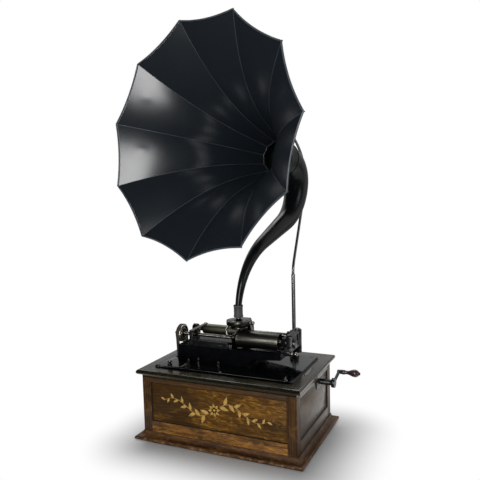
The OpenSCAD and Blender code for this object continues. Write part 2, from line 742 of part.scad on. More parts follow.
bracket_w = 40;
bracket_h = 108;
arm_w = 14;
arm_h = 10;
arm_span = 84;
module crane_bracket() {
  back = body_d / 2;
  z0 = socket_z + 2 * arm_h;
  middle = z0 + (arm_span + arm_h) / 2;
  color("#1b1b1d") difference() {
    union() {
      translate([crane_x - bracket_w / 2, back, middle - bracket_h / 2])
        cube([bracket_w, bracket_t, bracket_h]);
      for (z = [z0, z0 + arm_span]) {
        translate([crane_x - arm_w / 2, back, z]) cube([arm_w, crane_back, arm_h]);
        translate([crane_x, crane_y, z]) cylinder(h = arm_h, r = socket_d / 2 + 4);
      }
    }
    translate([crane_x, crane_y, z0 - over])
      cylinder(h = arm_span + arm_h + 2 * over, r = socket_d / 2 + fit);
    for (x = [-1, 1], z = [-1, 1])
      translate([crane_x + x * bracket_w / 3, back + bracket_t, middle + z * bracket_h / 4]) rotate([90, 0, 0])
        cylinder(h = 3, r = 4, center = true);
  }
}
module crane_socket() {
  color("#2a2a2c") translate([crane_x, crane_y, socket_z]) difference() {
    cylinder(h = lid_top + socket_rise - socket_z, r = socket_d / 2);
    translate([0, 0, 10]) cylinder(h = lid_top + socket_rise, r = post_d / 2 + fit);
  }
}
module crane_collar() {
  top = lid_top + socket_rise;
  r = socket_d / 2 + 5.5;
  color("#1f1f21") difference() {
    union() {
      translate([crane_x, crane_y, top - 10]) cylinder(h = 14, r = r);
      translate([crane_x, crane_y, top + 4]) intersection() {
        sphere(r);
        cylinder(h = 7, r = r);
      }
      bar([crane_x, crane_y, top - 3], [crane_x, crane_y + r + 9, top - 3], 3);
      bar([crane_x, crane_y + r + 9, top - 3], [crane_x, crane_y + r + 14, top - 3], 7);
    }
    translate([crane_x, crane_y, top - 10 - over]) cylinder(h = 10 + over, r = socket_d / 2 + fit);
    translate([crane_x, crane_y, top - over]) cylinder(h = 20, r = post_d / 2 + fit);
  }
}
module crane_post() {
  foot = socket_z + 10;
  color("#c6c2b8") translate([crane_x, crane_y, foot]) {
    cylinder(h = post_top - 2 - foot, r = post_d / 2);
    translate([0, 0, post_top - 2 - foot]) cylinder(h = 2, r1 = post_d / 2, r2 = crane_d / 2);
  }
}
// Points of the upper rod, eased between the route's own points.
steps = 3;
function eased(p, i, f) =
  let (last = len(p) - 1, a = p[max(i - 1, 0)], b = p[i], c = p[min(i + 1, last)], d = p[min(i + 2, last)])
  0.5 * (2 * b + (c - a) * f + (2 * a - 5 * b + 4 * c - d) * f * f + (3 * b - a - 3 * c + d) * f * f * f);
module crane_rod() {
  count = (len(rod_route) - 1) * steps;
  route = [for (i = [0:count]) eased(rod_route, floor(i / steps), (i % steps) / steps)];
  color("#202022") {
    swept(route, crane_d / 2, 10, [1, 0, 0]);
    translate(route[count]) sphere(crane_d / 2 + 1.5, $fn = 24);
  }
}
// Wire link between the rod and the horn's eye, square to the horn's plane.
module in_horn_plane() {
  translate([eye_x, axis_y, 0]) rotate([0, 0, -horn_az]) children();
}
function horn_back(p) = (p[0] - eye_x) * sin(horn_az) + (p[1] - axis_y) * cos(horn_az);
function horn_side(p) = (p[0] - eye_x) * cos(horn_az) - (p[1] - axis_y) * sin(horn_az);
module crane_link() {
  top = crane_d / 2 + link_r + gap;
  span = top + link_drop;
  color("#9a958a") in_horn_plane() translate([horn_side(link_pt), horn_back(link_pt), link_pt[2] - link_drop]) {
    for (x = [-1, 1]) translate([x * link_w, 0, link_w]) cylinder(h = span - 2 * link_w, r = link_r);
    for (z = [link_w, span - link_w]) translate([0, 0, z]) rotate([90, 0, 0])
      rotate([0, 0, z > link_w ? 0 : 180])
        rotate_extrude(angle = 180) translate([link_w, 0]) circle(link_r, $fn = 24);
  }
}

// Horn.

module in_bell() {
  in_horn_plane() translate([0, neck_e[0], neck_e[1]]) rotate([90 - bell_tilt, 0, 0]) children();
}
module horn_neck() {
  n = 20;
  m = len(neck_path);
  function ring(p, r) = [for (k = [0:n - 1])
    [r * cos(360 * k / n), p[0] + r * sin(360 * k / n) * sin(p[2]), p[1] - r * sin(360 * k / n) * cos(p[2])]];
  points = concat(
    [for (p = neck_path) each ring(p, neck_r(p))], [for (p = neck_path) each ring(p, neck_r(p) - neck_t)]);
  half = m * n;
  ends = [for (k = [0:n - 1]) let (j = (k + 1) % n, z = (m - 1) * n)
    each concat(tri(k, j, half + j, half + k), tri(z + k, half + z + k, half + z + j, z + j))];
  color("#131417") in_horn_plane()
    polyhedron(points, concat(skin(m, n, 0, 1), skin(m, n, half, 0), ends), convexity = 8);
}
module horn_ferrule() {
  back = 8;
  bead_r = 2;
  color("#17181b") in_bell() rotate_extrude($fn = 96) {
    translate([ferrule_r, -back]) square([ferrule_t, ferrule_len - gap + back]);
    for (z = [-back + bead_r, ferrule_len - gap - bead_r])
      translate([ferrule_r + ferrule_t, z]) circle(bead_r - 0.1, $fn = 24);
  }
}
// One panel: bowed sheet with a folded seam standing outwards along each edge.
module horn_panels() {
  rows = 9;
  cols = 4;
  function loop(t, k) =
    let (skin_t = sheet_t * sqrt(1 + slope(t) * slope(t)), chord = 2 * flare(t) * sin(180 / panels))
    let (e = 0.12 / chord, fold = e + sheet_t / chord, z = bell_len * t)
    let (tip_a = polar(seam_h, seam_at(k)), tip_b = polar(seam_h, seam_at(k + 1)))
    [for (p = concat(
      [bowed(t, k, e, skin_t) + tip_a, bowed(t, k, fold, skin_t) + tip_a],
      [for (i = [0:cols]) bowed(t, k, fold + (1 - 2 * fold) * i / cols, skin_t)],
      [bowed(t, k, 1 - fold, skin_t) + tip_b, bowed(t, k, 1 - e, skin_t) + tip_b],
      [for (i = [cols:-1:0]) bowed(t, k, e + (1 - 2 * e) * i / cols, 0)])) [p[0], p[1], z]];
  end = 5 + 2 * cols;
  caps = concat(
    [[0, 1, 2, end], [for (i = [2:5]) cols + i]], [for (i = [0:cols - 1]) [2 + i, 3 + i, end - 1 - i, end - i]]);
  color("#14161c") in_bell() translate([0, 0, ferrule_len]) for (k = [0:panels - 1])
    lofted([for (j = [0:rows]) loop(j / rows, k)], caps);
}
// Wired rim that binds the panels' front edges.
module horn_rim() {
  per = 6;
  n = 6;
  count = panels * per;
  function rim_at(i) =
    let (p = bowed(1, floor(i / per), (i % per) / per, sheet_t)) [p[0], p[1], 0];
  function ring(i) =
    let (t = unit(rim_at((i + 1) % count) - rim_at((i + count - 1) % count)), v = cross(t, [0, 0, 1]))
    [for (k = [0:n - 1]) rim_at(i) + wire_r * (cos(360 * k / n) * [0, 0, 1] + sin(360 * k / n) * v)];
  rings = [for (i = [0:count - 1]) ring(i)];
  faces = [for (i = [0:count - 1], k = [0:n - 1])
    let (j = (i + 1) % count, l = (k + 1) % n)
    each tri(i * n + k, i * n + l, j * n + l, j * n + k)];
  color("#2d2f34") in_bell() translate([0, 0, ferrule_len + bell_len + wire_r + 0.1])
    polyhedron([for (r = rings) each r], faces, convexity = 8);
}
// Ring on top of the ferrule, hung from the crane's link.
module horn_eye() {
  back = horn_back(link_pt) - eye_play;
  up = link_pt[2] - link_drop + link_r + link_gap - sqrt(pow(eye_major - eye_minor, 2) - eye_play * eye_play);
  seat = neck_e[1] + (ferrule_r + ferrule_t) / cos(bell_tilt) + (neck_e[0] - back) * tan(bell_tilt) + 1.5 * gap;
  color("#8f8b80") in_horn_plane() translate([horn_side(link_pt), back, 0]) {
    translate([0, 0, up]) rotate([0, 90, 0])
      rotate_extrude() translate([eye_major, 0]) circle(eye_minor, $fn = 24);
    translate([0, 0, seat]) cylinder(h = up - eye_major - seat, r = 3.5);
  }
}
module rubber_connector() {
  low = neck_z - 20;
  top = neck_z + 12;
  nozzle_play = nozzle_d / 2 + 4.3;
  lean_play = 3;
  color("#3c3d3f") translate([eye_x, axis_y, 0]) difference() {
    union() {
      translate([0, 0, low]) cylinder(h = top - low, r = rubber_d / 2);
      for (z = [low, top - 5]) translate([0, 0, z]) cylinder(h = 5, r = rubber_d / 2 + 0.8);
    }
    translate([0, 0, low - over]) cylinder(h = neck_z - 2 - low + over, r = nozzle_play);
    translate([0, 0, neck_z - 2 - over])
      cylinder(h = top - neck_z + 2 + 2 * over, r1 = neck_ra + 2.3, r2 = neck_ra + lean_play);
  }
}

// Mandrel and its shaft.

module main_shaft() {
  at = [axis_y, axis_z];
  color("#9b968a") difference() {
    union() {
      shaft_x(-shaft_left, shaft_right, at, shaft_r);
      shaft_x(-shaft_left - 4, -shaft_left, at, shaft_r - 1.5);
    }
    translate([shaft_right + 0.01, axis_y, axis_z]) rotate([0, -90, 0]) cylinder(h = 4, r1 = 3.5, r2 = 0.4);
  }
}
module mandrel() {
  web = 14;
  web_t = 4;
  r1 = mandrel_d1 / 2;
  r2 = mandrel_d2 / 2;
  color("#a08d72") difference() {
    turned_x(mandrel_x, [axis_y, axis_z]) polygon([
      [shaft_r, 0], [r1 + 1.2, 0], [r1 + 1.2, 2], [r1, 2], [r2, mandrel_len], [r2 - mandrel_wall, mandrel_len],
      [r2 - mandrel_wall, mandrel_len - web + web_t], [shaft_r + 5, mandrel_len - web + web_t],
      [shaft_r + 5, mandrel_len - 2], [shaft_r, mandrel_len - 2],
      [shaft_r, mandrel_len - web], [r2 - mandrel_wall, mandrel_len - web],
      [r1 - mandrel_wall, web_t], [shaft_r, web_t]]);
    for (a = [0:60:300]) translate([mandrel_x + mandrel_len - web - over, axis_y, axis_z]) rotate([a, 0, 0])
      translate([0, 0, (shaft_r + 5 + r2 - mandrel_wall) / 2]) rotate([0, 90, 0])
        cylinder(h = web_t + 2 * over, r = 2.2);
  }
}
module mandrel_pulley() {
  r = pulley_d / 2;
  w = pulley_w;
  color("#1b1c1f") turned_x(-pulley_x - w / 2, [axis_y, axis_z]) polygon([
    [shaft_r, -4], [shaft_r + 5, -4], [shaft_r + 5, 4], [r - 4, 4], [r - 4, 0], [r, 0], [r, w], [r - 4, w],
    [r - 4, w - 4], [r - 8, w - 4], [r - 8, w], [r - 11, w], [r - 11, w - 4],
    [shaft_r + 5, w - 4], [shaft_r + 5, w + 1.5], [shaft_r, w + 1.5]]);
}
belt_gap = 0.2;
module belt_outline(grow) {
  r1 = pulley_d / 2 + belt_gap + grow;
  r2 = drive_d / 2 + belt_gap + grow;
  c1 = [axis_y, axis_z];
  lean = asin((r1 - r2) / norm(c1 - pulley_at));
  nr = [cos(lean), -sin(lean)];
  nl = [-cos(lean), -sin(lean)];
  translate(c1) circle(r1);
  translate(pulley_at) circle(r2);
  polygon([pulley_at + r2 * nl, pulley_at + r2 * nr, c1 + r1 * nr, c1 + r1 * nl]);
}
module drive_belt() {
  color("#2a2420") slab_x(-pulley_x - belt_w / 2, -pulley_x + belt_w / 2) difference() {
    belt_outline(belt_t);
    belt_outline(0);
  }
}

// Carriage on the back rod.

module back_rod() {
  color("#a29f93") shaft_x(stand_x, cast_right, [rod_y, rod_z], rod_r);
}
module carriage() {
  web_w = 26;
  web_x = eye_x - 6;
  hub_top = rod_z + sleeve_d / 2;
  color("#1a1b1d") difference() {
    union() {
      shaft_x(-sleeve_left, sleeve_right, [rod_y, rod_z], sleeve_d / 2);
      shaft_x(web_x - 4, sleeve_right + 2, [rod_y, rod_z], sleeve_d / 2 + 2.5);
      translate([eye_x, axis_y, eye_z]) cylinder(h = eye_t, r = eye_d / 2);
      slab_x(web_x, web_x + web_w) polygon([
        [rod_y - sleeve_d / 2, rod_z], [rod_y + sleeve_d / 2, rod_z], [rod_y + 9, hub_top + 8],
        [axis_y + eye_d / 2 + 4, eye_z + eye_t], [axis_y + eye_d / 2 - 8, eye_z + eye_t],
        [axis_y + eye_d / 2 - 4, eye_z], [rod_y - sleeve_d / 2 + 1, hub_top - 2]]);
      shaft_x(eye_x + eye_d / 2 - 3, eye_x + eye_d / 2 + 5, [axis_y, eye_z + eye_t / 2], eye_t / 2);
    }
    shaft_x(-sleeve_left - over, max(sleeve_right + 2, web_x + web_w) + over, [rod_y, rod_z], rod_r + gap);
    translate([eye_x, axis_y, eye_z - over]) cylinder(h = eye_t + 2 * over, r = repro_d / 2 + fit);
    translate([eye_x, axis_y, eye_z - 20]) cylinder(h = 20, r = repro_d / 2 + 1);
    shaft_x(eye_x, eye_x + eye_d / 2 + 6, [axis_y, eye_z + eye_t / 2], 2 + fit);
  }
}
// Spring arm from the sleeve's left end to the half nut, with a foot on the guide bar.
nut_top = 18;
module feed_nut_arm() {
  top = axis_z + nut_top;
  z0 = rod_z + sleeve_d / 2;
  front = front_y + 1;
  color("#8d897e") difference() {
    union() {
      translate([-nut_x - nut_w / 2, axis_y - 7, axis_z + 1]) cube([nut_w, 14, nut_top - 1]);
      translate([-nut_x - nut_w / 2, front, top]) cube([nut_w, rod_y + 6 - front, 3]);
      translate([-nut_x - nut_w / 2, front, cast_top + bar_h + gap])
        cube([nut_w, bar_t, top - cast_top - bar_h]);
      translate([-nut_x - nut_w / 2, rod_y - 7, z0 - 3]) cube([nut_w, 14, top - z0 + 3]);
      translate([-nut_x, rod_y, top + 3]) cylinder(h = 2, r = 4);
    }
    shaft_x(-nut_x - nut_w, -nut_x + nut_w, [axis_y, axis_z], shaft_r + gap);
    shaft_x(-nut_x - nut_w, -nut_x + nut_w, [rod_y, rod_z], sleeve_d / 2 + 0.02);
  }
}
// Bright fork at the eye's left front; it carries the lift lever's pivot.
fork_low = [eye_x + 2, axis_y - 40, axis_z + 14];
pivot_r = 1.6;
module carriage_fork() {
  r = 2.2;
  knee = r + 0.5;
  a = [eye_x - 18, axis_y - 24, eye_z - knee];
  b = [eye_x - 20, axis_y - 38, eye_z - 9];
  c = [eye_x - 16, axis_y - 40, axis_z + 18];
  color("#bdb8ac") {
    bar(a, b, r);
    for (p = [a, b, c, fork_low]) translate(p) sphere(knee);
    bar(b, c, r);
    bar(c, fork_low, r);
    bar(fork_low, fork_low + [0, -6.5, 0], pivot_r);
  }
}
module lift_lever() {
  reach = [9, 0, 12];
  at = fork_low + [0, -4.6, 0];
  color("#d0cbc0") {
    difference() {
      translate(at) rotate([90, 0, 0]) cylinder(h = 3, r = 3.8, center = true);
      translate(at) rotate([90, 0, 0]) cylinder(h = 8, r = pivot_r + fit, center = true);
    }
    bar(at + 0.2 * reach, at + reach, 1.1);
    translate(at + reach) sphere(2);
  }
}
module reproducer() {
  r = repro_d / 2;
  low = eye_z - 4;
  top = bed_top + nozzle_rise;
  rn = nozzle_d / 2;
  cap = eye_z + eye_t;
  color("#8c8678") translate([eye_x, axis_y, 0]) rotate_extrude() polygon([
    [0, low], [r - 3, low], [r - 1, low + 1.5], [r, low + 2], [r, cap + 0.5], [r - 3, cap + 1.5],
    [r - 7, cap + 1.7],
    [rn + 6, cap + 2.2], [rn + 2, cap + 3.6], [rn + 0.6, cap + 5.5], [rn, cap + 8], [rn, top], [rn - 1.8, top],
    [rn - 1.8, low + 6], [0, low + 6]]);
}
module reproducer_screw() {
  x = eye_x + eye_d / 2;
  at = [axis_y, eye_z + eye_t / 2];
  color("#c4bfb3") {
    shaft_x(x - 5, x + 7, at, 2);
    shaft_x(x + 5, x + 11, at, 5);
    shaft_x(x + 11, x + 12.5, at, 3.5);
  }
}
module floating_weight() {
  top = eye_z - 7;
  r = repro_d / 2 - 4;
  color("#827c6e") translate([eye_x, axis_y, 0]) {
    difference() {
      translate([0, 0, top - 4]) cylinder(h = 4, r = r);
      translate([0, -r, top]) cube([10, 2 * r - 16, 20], center = true);
    }
    translate([-4, r - 8, top - 1]) cube([8, 4, 4 - gap]);
    translate([0, -3, top - 4.6]) cylinder(h = 4, r1 = 0.6, r2 = 3);
  }
}

// Gate that carries the shaft's right end, and its sprung latch.

hub_small = 11;
hub_large = 17;
module end_gate() {
  x0 = gate_mid - gate_t / 2;
  at = [axis_y, axis_z];
  nose = shaft_right + gap;
  color("#16171a") difference() {
    union() {
      slab_x(x0, x0 + gate_t) {
        translate([(axis_y - 20 + hinge_y) / 2, gate_z + gate_h / 2])
          round_rect(hinge_y - axis_y + 20, gate_h - 2, 7);
        translate([axis_y - latch_y, latch_z - 1]) square([latch_y - 10, latch_d + 8]);
        translate([axis_y - latch_y, latch_z + latch_d / 2]) circle(latch_d / 2 + 4.2);
      }
      translate([gate_mid, hinge_y, gate_z]) cylinder(h = gate_h, r = 11);
      shaft_x(gate_x - over, x0 + gate_t + 5, at, 12);
      translate([shaft_right + 2, axis_y, axis_z]) rotate([0, 90, 0])
        cylinder(h = gate_x - shaft_right - 2, r1 = hub_small, r2 = hub_large);
      shaft_x(x0 - 3, x0 + gate_t + 3, [axis_y - latch_y, latch_z], latch_d / 2 + 3.5);
      shaft_x(nose, gate_x, at, 3.2);
      translate([nose + 0.2, axis_y, axis_z]) rotate([0, -90, 0]) cylinder(h = 3, r1 = 2.9, r2 = 0.3);
    }
    translate([gate_mid, hinge_y, gate_z - over]) cylinder(h = gate_h + 2 * over, r = gate_pin_d / 2 + fit);
    shaft_x(x0 - 4, x0 + gate_t + 4, [axis_y - latch_y, latch_z], latch_d / 2 + fit);
    slab_x(x0 + gate_t - 3, x0 + gate_t + over)
      translate([hinge_y - 19, gate_z + gate_h / 2]) round_rect(13, gate_h - 16, 3);
  }
}
latch_ball = 12;
module gate_latch() {
  x1 = gate_mid + gate_t / 2 + 3;
  at = [axis_y - latch_y, latch_z];
  color("#c9c4b8") {
    shaft_x(cast_right + gap, x1 + latch_ball, at, latch_d / 2);
    translate([cast_right + gap, at[0], at[1]]) rotate([0, -90, 0])
      cylinder(h = latch_d / 2 - gap, r1 = latch_d / 2, r2 = gap);
    shaft_x(x1 + gap, x1 + 3, at, latch_d / 2 + 1.5);
    translate([x1 + latch_ball, at[0], at[1]]) sphere(ball_d / 2);
  }
}

// Crank.

module crank() {
  arm_r = 4;
  inside = plate_right - 4;
  stem = grip_len + crank_ferrule + 2 * gap;
  color("#2b2a2a") {
    shaft_x(inside, crank_x, crank_at, crank_d / 2);
    shaft_x(crank_x - crank_hub_w / 2, crank_x + crank_hub_w / 2, crank_at, crank_hub_r);
    bar([crank_x, crank_at[0], crank_at[1]], stem_at, arm_r);
    translate(stem_at) rotate([0, 90, 0]) {
      translate([0, 0, -crank_hub_w / 2]) cylinder(h = crank_hub_w / 2 + crank_ferrule, r1 = 5, r2 = 6.3);
      cylinder(h = stem, r = stem_d / 2);
      translate([0, 0, stem]) cylinder(h = 2, r1 = stem_d / 2 + 1.5, r2 = stem_d / 2);
    }
  }
}
// Pear shaped grip: a slim neck, then a full belly.
module crank_grip() {
  r = grip_d / 2;
  n = 16;
  neck = 0.58;
  belly = 0.68;
  function eased_in(x) = let (c = min(max(x, 0), 1)) c * c * (3 - 2 * c);
  function swell(t) = r * (t < belly ? neck + (1 - neck) * eased_in((t - 0.12) / (belly - 0.12)) :
    sqrt(1 - pow((t - belly) / 0.35, 2)));
  color("#4c1c14") turned_x(grip_x + gap, [stem_at[1], stem_at[2]]) difference() {
    polygon(concat(
      [[0, 0]], [for (i = [0:n]) [max(swell(i / n), stem_d / 2 + 1), grip_len * i / n]], [[0, grip_len]]));
    square([2 * (stem_d / 2 + fit), 3 * grip_len], center = true);
  }
}

// Spring motor, hung under the bedplate.

// Outline of a spur wheel: involute flanks with a tooth centred at angle turn.
pressure = 20;
backlash = 0.12;
function involute(rb, r) = sqrt(max(r * r / (rb * rb) - 1, 0)) - acos(min(rb / r, 1)) * deg;
module wheel_outline(m, z, turn) {
  rp = m * z / 2;
  rb = rp * cos(pressure);
  ra = rp + 0.75 * m;
  rf = rp - m;
  lo = max(rb, rf);
  half = (PI / (2 * z) - backlash / (2 * rp)) / deg + involute(rb, rp) / deg;
  flank = [for (i = [0:3]) let (r = lo + (ra - lo) * i / 3) [r, half - involute(rb, r) / deg]];
  polygon([for (k = [0:z - 1]) let (c = turn + 360 * k / z) each concat(
    [polar(rf, c - 180 / z), polar(rf, c - flank[0][1])],
    [for (f = flank) polar(f[0], c - f[1])],
    [for (i = [3:-1:0]) polar(flank[i][0], c + flank[i][1])],
    [polar(rf, c + flank[0][1])])]);
}
module wheel_x(x, w, at, m, z, turn) {
  slab_x(x, x + w) translate(at) wheel_outline(m, z, turn);
}
// Tooth positions: each pair meshes along the line between its shafts.
wind_line = wind_angle;
great_line = 180 - great_angle;
arbor_turn = wind_line;
crank_turn = wind_line + 180 + 180 / wind_z[0];
great_turn = great_line;
wheel_pinion_turn = great_line + 180 + 180 / great_z[0];
train_turn = 90;
pulley_pinion_turn = -90 + 180 / train_z[0];
speed_turn = governor_angle;
governor_turn = governor_angle + 180 + 180 / train_z[0];

plate_low = arbor_at[1] - 34;
plate_high = lid_top - 9;
plate_front = governor_at[0] - 20;
plate_rear = bed_y + hole_d / 2 - 4 * gap;
module motor_plates() {
  color("#4a4b4d") for (x = [-plate_left, plate_right]) difference() {
    slab_x(x, x + plate_t)
      translate([plate_front, plate_low]) square([plate_rear - plate_front, plate_high - plate_low]);
    shaft_x(x - over, x + plate_t + over, arbor_at, arbor_d / 2 + fit);
    shaft_x(x - over, x + plate_t + over, wheel_at, wheel_d / 2 + fit);
    shaft_x(x - over, x + plate_t + over, pulley_at, wheel_d / 2 + fit);
    shaft_x(x - over, x + plate_t + over, governor_at, 2.5 + fit);
    if (x > 0) shaft_x(x - over, x + plate_t + over, crank_at, crank_d / 2 + fit);
  }
}
module motor_pillars() {
  color("#6b6a66") for (at = [[plate_front + 8, plate_low + 8], [plate_rear - 8, plate_high - 10]])
    shaft_x(-plate_left + plate_t, plate_right, at, 5);
}
module motor_hangers() {
  color("#6b6a66") for (x = [-plate_left, plate_right], y = [plate_front + 12, plate_rear - 21])
    translate([x + plate_t / 2, y, plate_high]) cylinder(h = lid_top - plate_high, r = 6);
}
module winding_pinion() {
  color("#7c7a74") difference() {
    wheel_x(wind_x, wind_w, crank_at, wind_m, wind_z[0], crank_turn);
    shaft_x(wind_x - over, wind_x + wind_w + over, crank_at, crank_d / 2);
  }
}
module winding_gear() {
  color("#8a7a4e") {
    wheel_x(wind_x, wind_w, arbor_at, wind_m, wind_z[1], arbor_turn);
    shaft_x(-plate_left - 2, wind_x + wind_w + 3, arbor_at, arbor_d / 2);
  }
}
module spring_barrel() {
  color("#85734a") difference() {
    union() {
      shaft_x(barrel_x[0], barrel_x[1], arbor_at, barrel_r);
      wheel_x(great_x[0], great_x[1] - great_x[0], arbor_at, great_m, great_z[1], great_turn);
      shaft_x(great_x[1] - over, barrel_x[0] + over, arbor_at, barrel_r - 6);
    }
    shaft_x(barrel_x[0] + 4, barrel_x[1] - 4, arbor_at, barrel_r - 3);
    shaft_x(great_x[0] - over, barrel_x[1] + over, arbor_at, arbor_d / 2 + fit);
  }
}
module intermediate_wheel() {
  color("#8a7a4e") {
    wheel_x(great_x[0] - 1, great_x[1] - great_x[0] + 2, wheel_at, great_m, great_z[0], wheel_pinion_turn);
    wheel_x(train_x[0], train_x[1] - train_x[0], wheel_at, train_m, train_z[1], train_turn);
    shaft_x(-plate_left, plate_right + plate_t, wheel_at, wheel_d / 2);
  }
}
module pulley_shaft() {
  color("#8a7a4e") {
    wheel_x(train_x[0] - 1, train_x[1] - train_x[0] + 2, pulley_at, train_m, train_z[0], pulley_pinion_turn);
    wheel_x(speed_x[0], speed_x[1] - speed_x[0], pulley_at, train_m, train_z[1], speed_turn);
    shaft_x(-pulley_x - pulley_w / 2, plate_right + plate_t, pulley_at, wheel_d / 2);
  }
}
module drive_pulley() {
  r = drive_d / 2;
  w = pulley_w;
  color("#1f2023") turned_x(-pulley_x - w / 2, pulley_at) polygon([
    [wheel_d / 2, 0], [r, 0], [r, w], [r - 4, w], [r - 4, w - 4], [wheel_d / 2 + 3, w - 4],
    [wheel_d / 2 + 3, w + 3], [wheel_d / 2, w + 3]]);
}
module governor_spindle() {
  color("#7c7a74") {
    wheel_x(speed_x[0] - 1, speed_x[1] - speed_x[0] + 2, governor_at, train_m, train_z[0], governor_turn);
    shaft_x(-plate_left, plate_right + plate_t, governor_at, 2.5);
    shaft_x(-14, -10, governor_at, weight_r - 2);
    shaft_x(-64, -58, governor_at, 5);
  }
}
// Three weights on leaf springs round the spindle.
module governor_weights() {
  color("#a08850") for (a = [0:120:240]) translate([0, governor_at[0], governor_at[1]]) rotate([a, 0, 0]) {
    turned_x(-36, [0, weight_r - 6]) polygon([[0, -5], [3.5, -5], [5.5, -2.5], [5.5, 2.5], [3.5, 5], [0, 5]]);
    translate([-58, -2.5, 3]) cube([1, 5, weight_r - 8.5]);
    translate([-58, -2.5, weight_r - 6.5]) cube([44, 5, 1]);
  }
}

plinth_moulding();
bottom_board();
corner_posts();
front_rails();
side_rails();
front_panel();
left_panel();
right_panel();
back_panel();
lid_frame();
catch_plate();
crank_escutcheon();
bedplate();
bedplate_screws();
oil_cups();
body_casting();
guide_bar();
gate_pin();
control_posts();
crane_bracket();
crane_socket();
crane_collar();
crane_post();
crane_rod();
crane_link();
drive_belt();
motor_plates();
motor_pillars();
motor_hangers();
crank();
winding_pinion();
crank_grip();
winding_gear();
spring_barrel();
intermediate_wheel();
pulley_shaft();
drive_pulley();
governor_spindle();
governor_weights();
main_shaft();
mandrel();
mandrel_pulley();
back_rod();
carriage();
feed_nut_arm();
carriage_fork();
reproducer();
reproducer_screw();
floating_weight();
lift_lever();
rubber_connector();
horn_neck();
horn_ferrule();
horn_panels();
horn_rim();
horn_eye();
end_gate();
gate_latch();
start_lever();
speed_screw();
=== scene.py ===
# Cylinder phonograph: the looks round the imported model, in the model's own frame.
# Pieces follow in the order in which the machine is put together. Drawing sizes are in millimetres.
import math

import bmesh
import bpy
from mathutils import Matrix, Vector


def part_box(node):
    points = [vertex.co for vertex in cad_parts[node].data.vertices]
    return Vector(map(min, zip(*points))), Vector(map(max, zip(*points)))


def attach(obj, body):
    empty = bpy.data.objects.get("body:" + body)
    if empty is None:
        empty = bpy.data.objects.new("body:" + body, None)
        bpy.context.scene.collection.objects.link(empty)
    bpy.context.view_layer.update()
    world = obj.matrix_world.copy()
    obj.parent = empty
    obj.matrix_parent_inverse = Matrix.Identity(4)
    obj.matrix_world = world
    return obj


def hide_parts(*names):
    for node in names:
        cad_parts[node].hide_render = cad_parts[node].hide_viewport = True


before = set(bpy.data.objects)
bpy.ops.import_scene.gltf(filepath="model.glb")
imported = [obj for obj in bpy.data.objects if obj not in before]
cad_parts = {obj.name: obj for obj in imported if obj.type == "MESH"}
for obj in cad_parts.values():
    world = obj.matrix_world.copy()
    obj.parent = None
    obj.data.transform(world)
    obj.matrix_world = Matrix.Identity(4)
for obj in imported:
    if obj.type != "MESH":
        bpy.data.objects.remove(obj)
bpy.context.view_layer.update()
scene = bpy.context.scene
scene.view_settings.view_transform = "Standard"

# Camera. It stands to the right of the front, level with the horn's lower half, and looks slightly down.
# The picture's middle lies a little above the lens axis.
yaw, pitch, roll = (math.radians(a) for a in (24.85, 5.35, -1.50))
facing = Matrix.Rotation(yaw, 4, "Z") @ Matrix.Rotation(math.pi / 2 - pitch, 4, "X") @ Matrix.Rotation(roll, 4, "Z")
camera = bpy.data.objects.new("camera", bpy.data.cameras.new("camera"))
camera.data.lens, camera.data.sensor_width = 41.25, 36
picture, rise = 480, 5.5
camera.data.shift_y = rise / picture
stand = (0.625, -1.319, 0.643)
camera.matrix_world = Matrix.Translation(stand) @ facing
scene.collection.objects.link(camera)
scene.camera = camera


# Studio. A white cove and a pale floor that keeps the shadow. One soft lamp beside the camera lies as a
# highlight on the horn's left panels. Black felt in front and grey cloth behind are what the enamel mirrors.
def linear(code):
    """Turns an sRGB hex colour into the linear one that a socket holds."""
    parts = [int(code[i : i + 2], 16) / 255 for i in (1, 3, 5)]
    return [p / 12.92 if p <= 0.04045 else ((p + 0.055) / 1.055) ** 2.4 for p in parts] + [1.0]


def plugged(node, links):
    """Gives a node's inputs, by name or number, a value, a socket or a list of sockets."""
    for key, value in links.items():
        sources = value if isinstance(value, list) else [value]
        if isinstance(sources[0], bpy.types.NodeSocket):
            for source in sources:
                node.id_data.links.new(source, node.inputs[key])
        else:
            node.inputs[key].default_value = value


def add(tree, kind, links=None, out=0, **settings):
    """Adds a node with its settings and links, and gives back one output, or the node where out is None.

    Kind is the type's name without its first words, such as MapRange for ShaderNodeMapRange."""
    families = ("ShaderNode", "GeometryNode", "FunctionNode", "Node")
    made = tree.nodes.new(next(f + kind for f in families if hasattr(bpy.types, f + kind)))
    for key, value in settings.items():
        setattr(made, key, value)
    plugged(made, links or {})
    return made if out is None else made.outputs[out]


def surface(name):
    """A new material, with its node tree and its shader."""
    made = bpy.data.materials.new(name)
    made.use_nodes = True
    return made, made.node_tree, made.node_tree.nodes["Principled BSDF"]


scene.world = bpy.data.worlds.new("cove")
scene.world.use_nodes = True
cove = scene.world.node_tree
cove.nodes.clear()
# The cove is white to the eye and in what shines, and lights the object more softly.
ray = add(cove, "LightPath", out=None).outputs
seen = add(cove, "Math", {0: ray["Is Camera Ray"], 1: ray["Is Transmission Ray"]}, operation="MAXIMUM")
seen = add(cove, "Math", {0: seen, 1: ray["Is Glossy Ray"]}, operation="MAXIMUM")
soft = add(cove, "Background", {"Color": linear("#f4f6fa"), "Strength": 0.28})
white = add(cove, "Background", {"Color": linear("#ffffff"), "Strength": 1.0})
both = add(cove, "MixShader", {0: seen, 1: soft, 2: white})
add(cove, "OutputWorld", {0: both}, out=None)

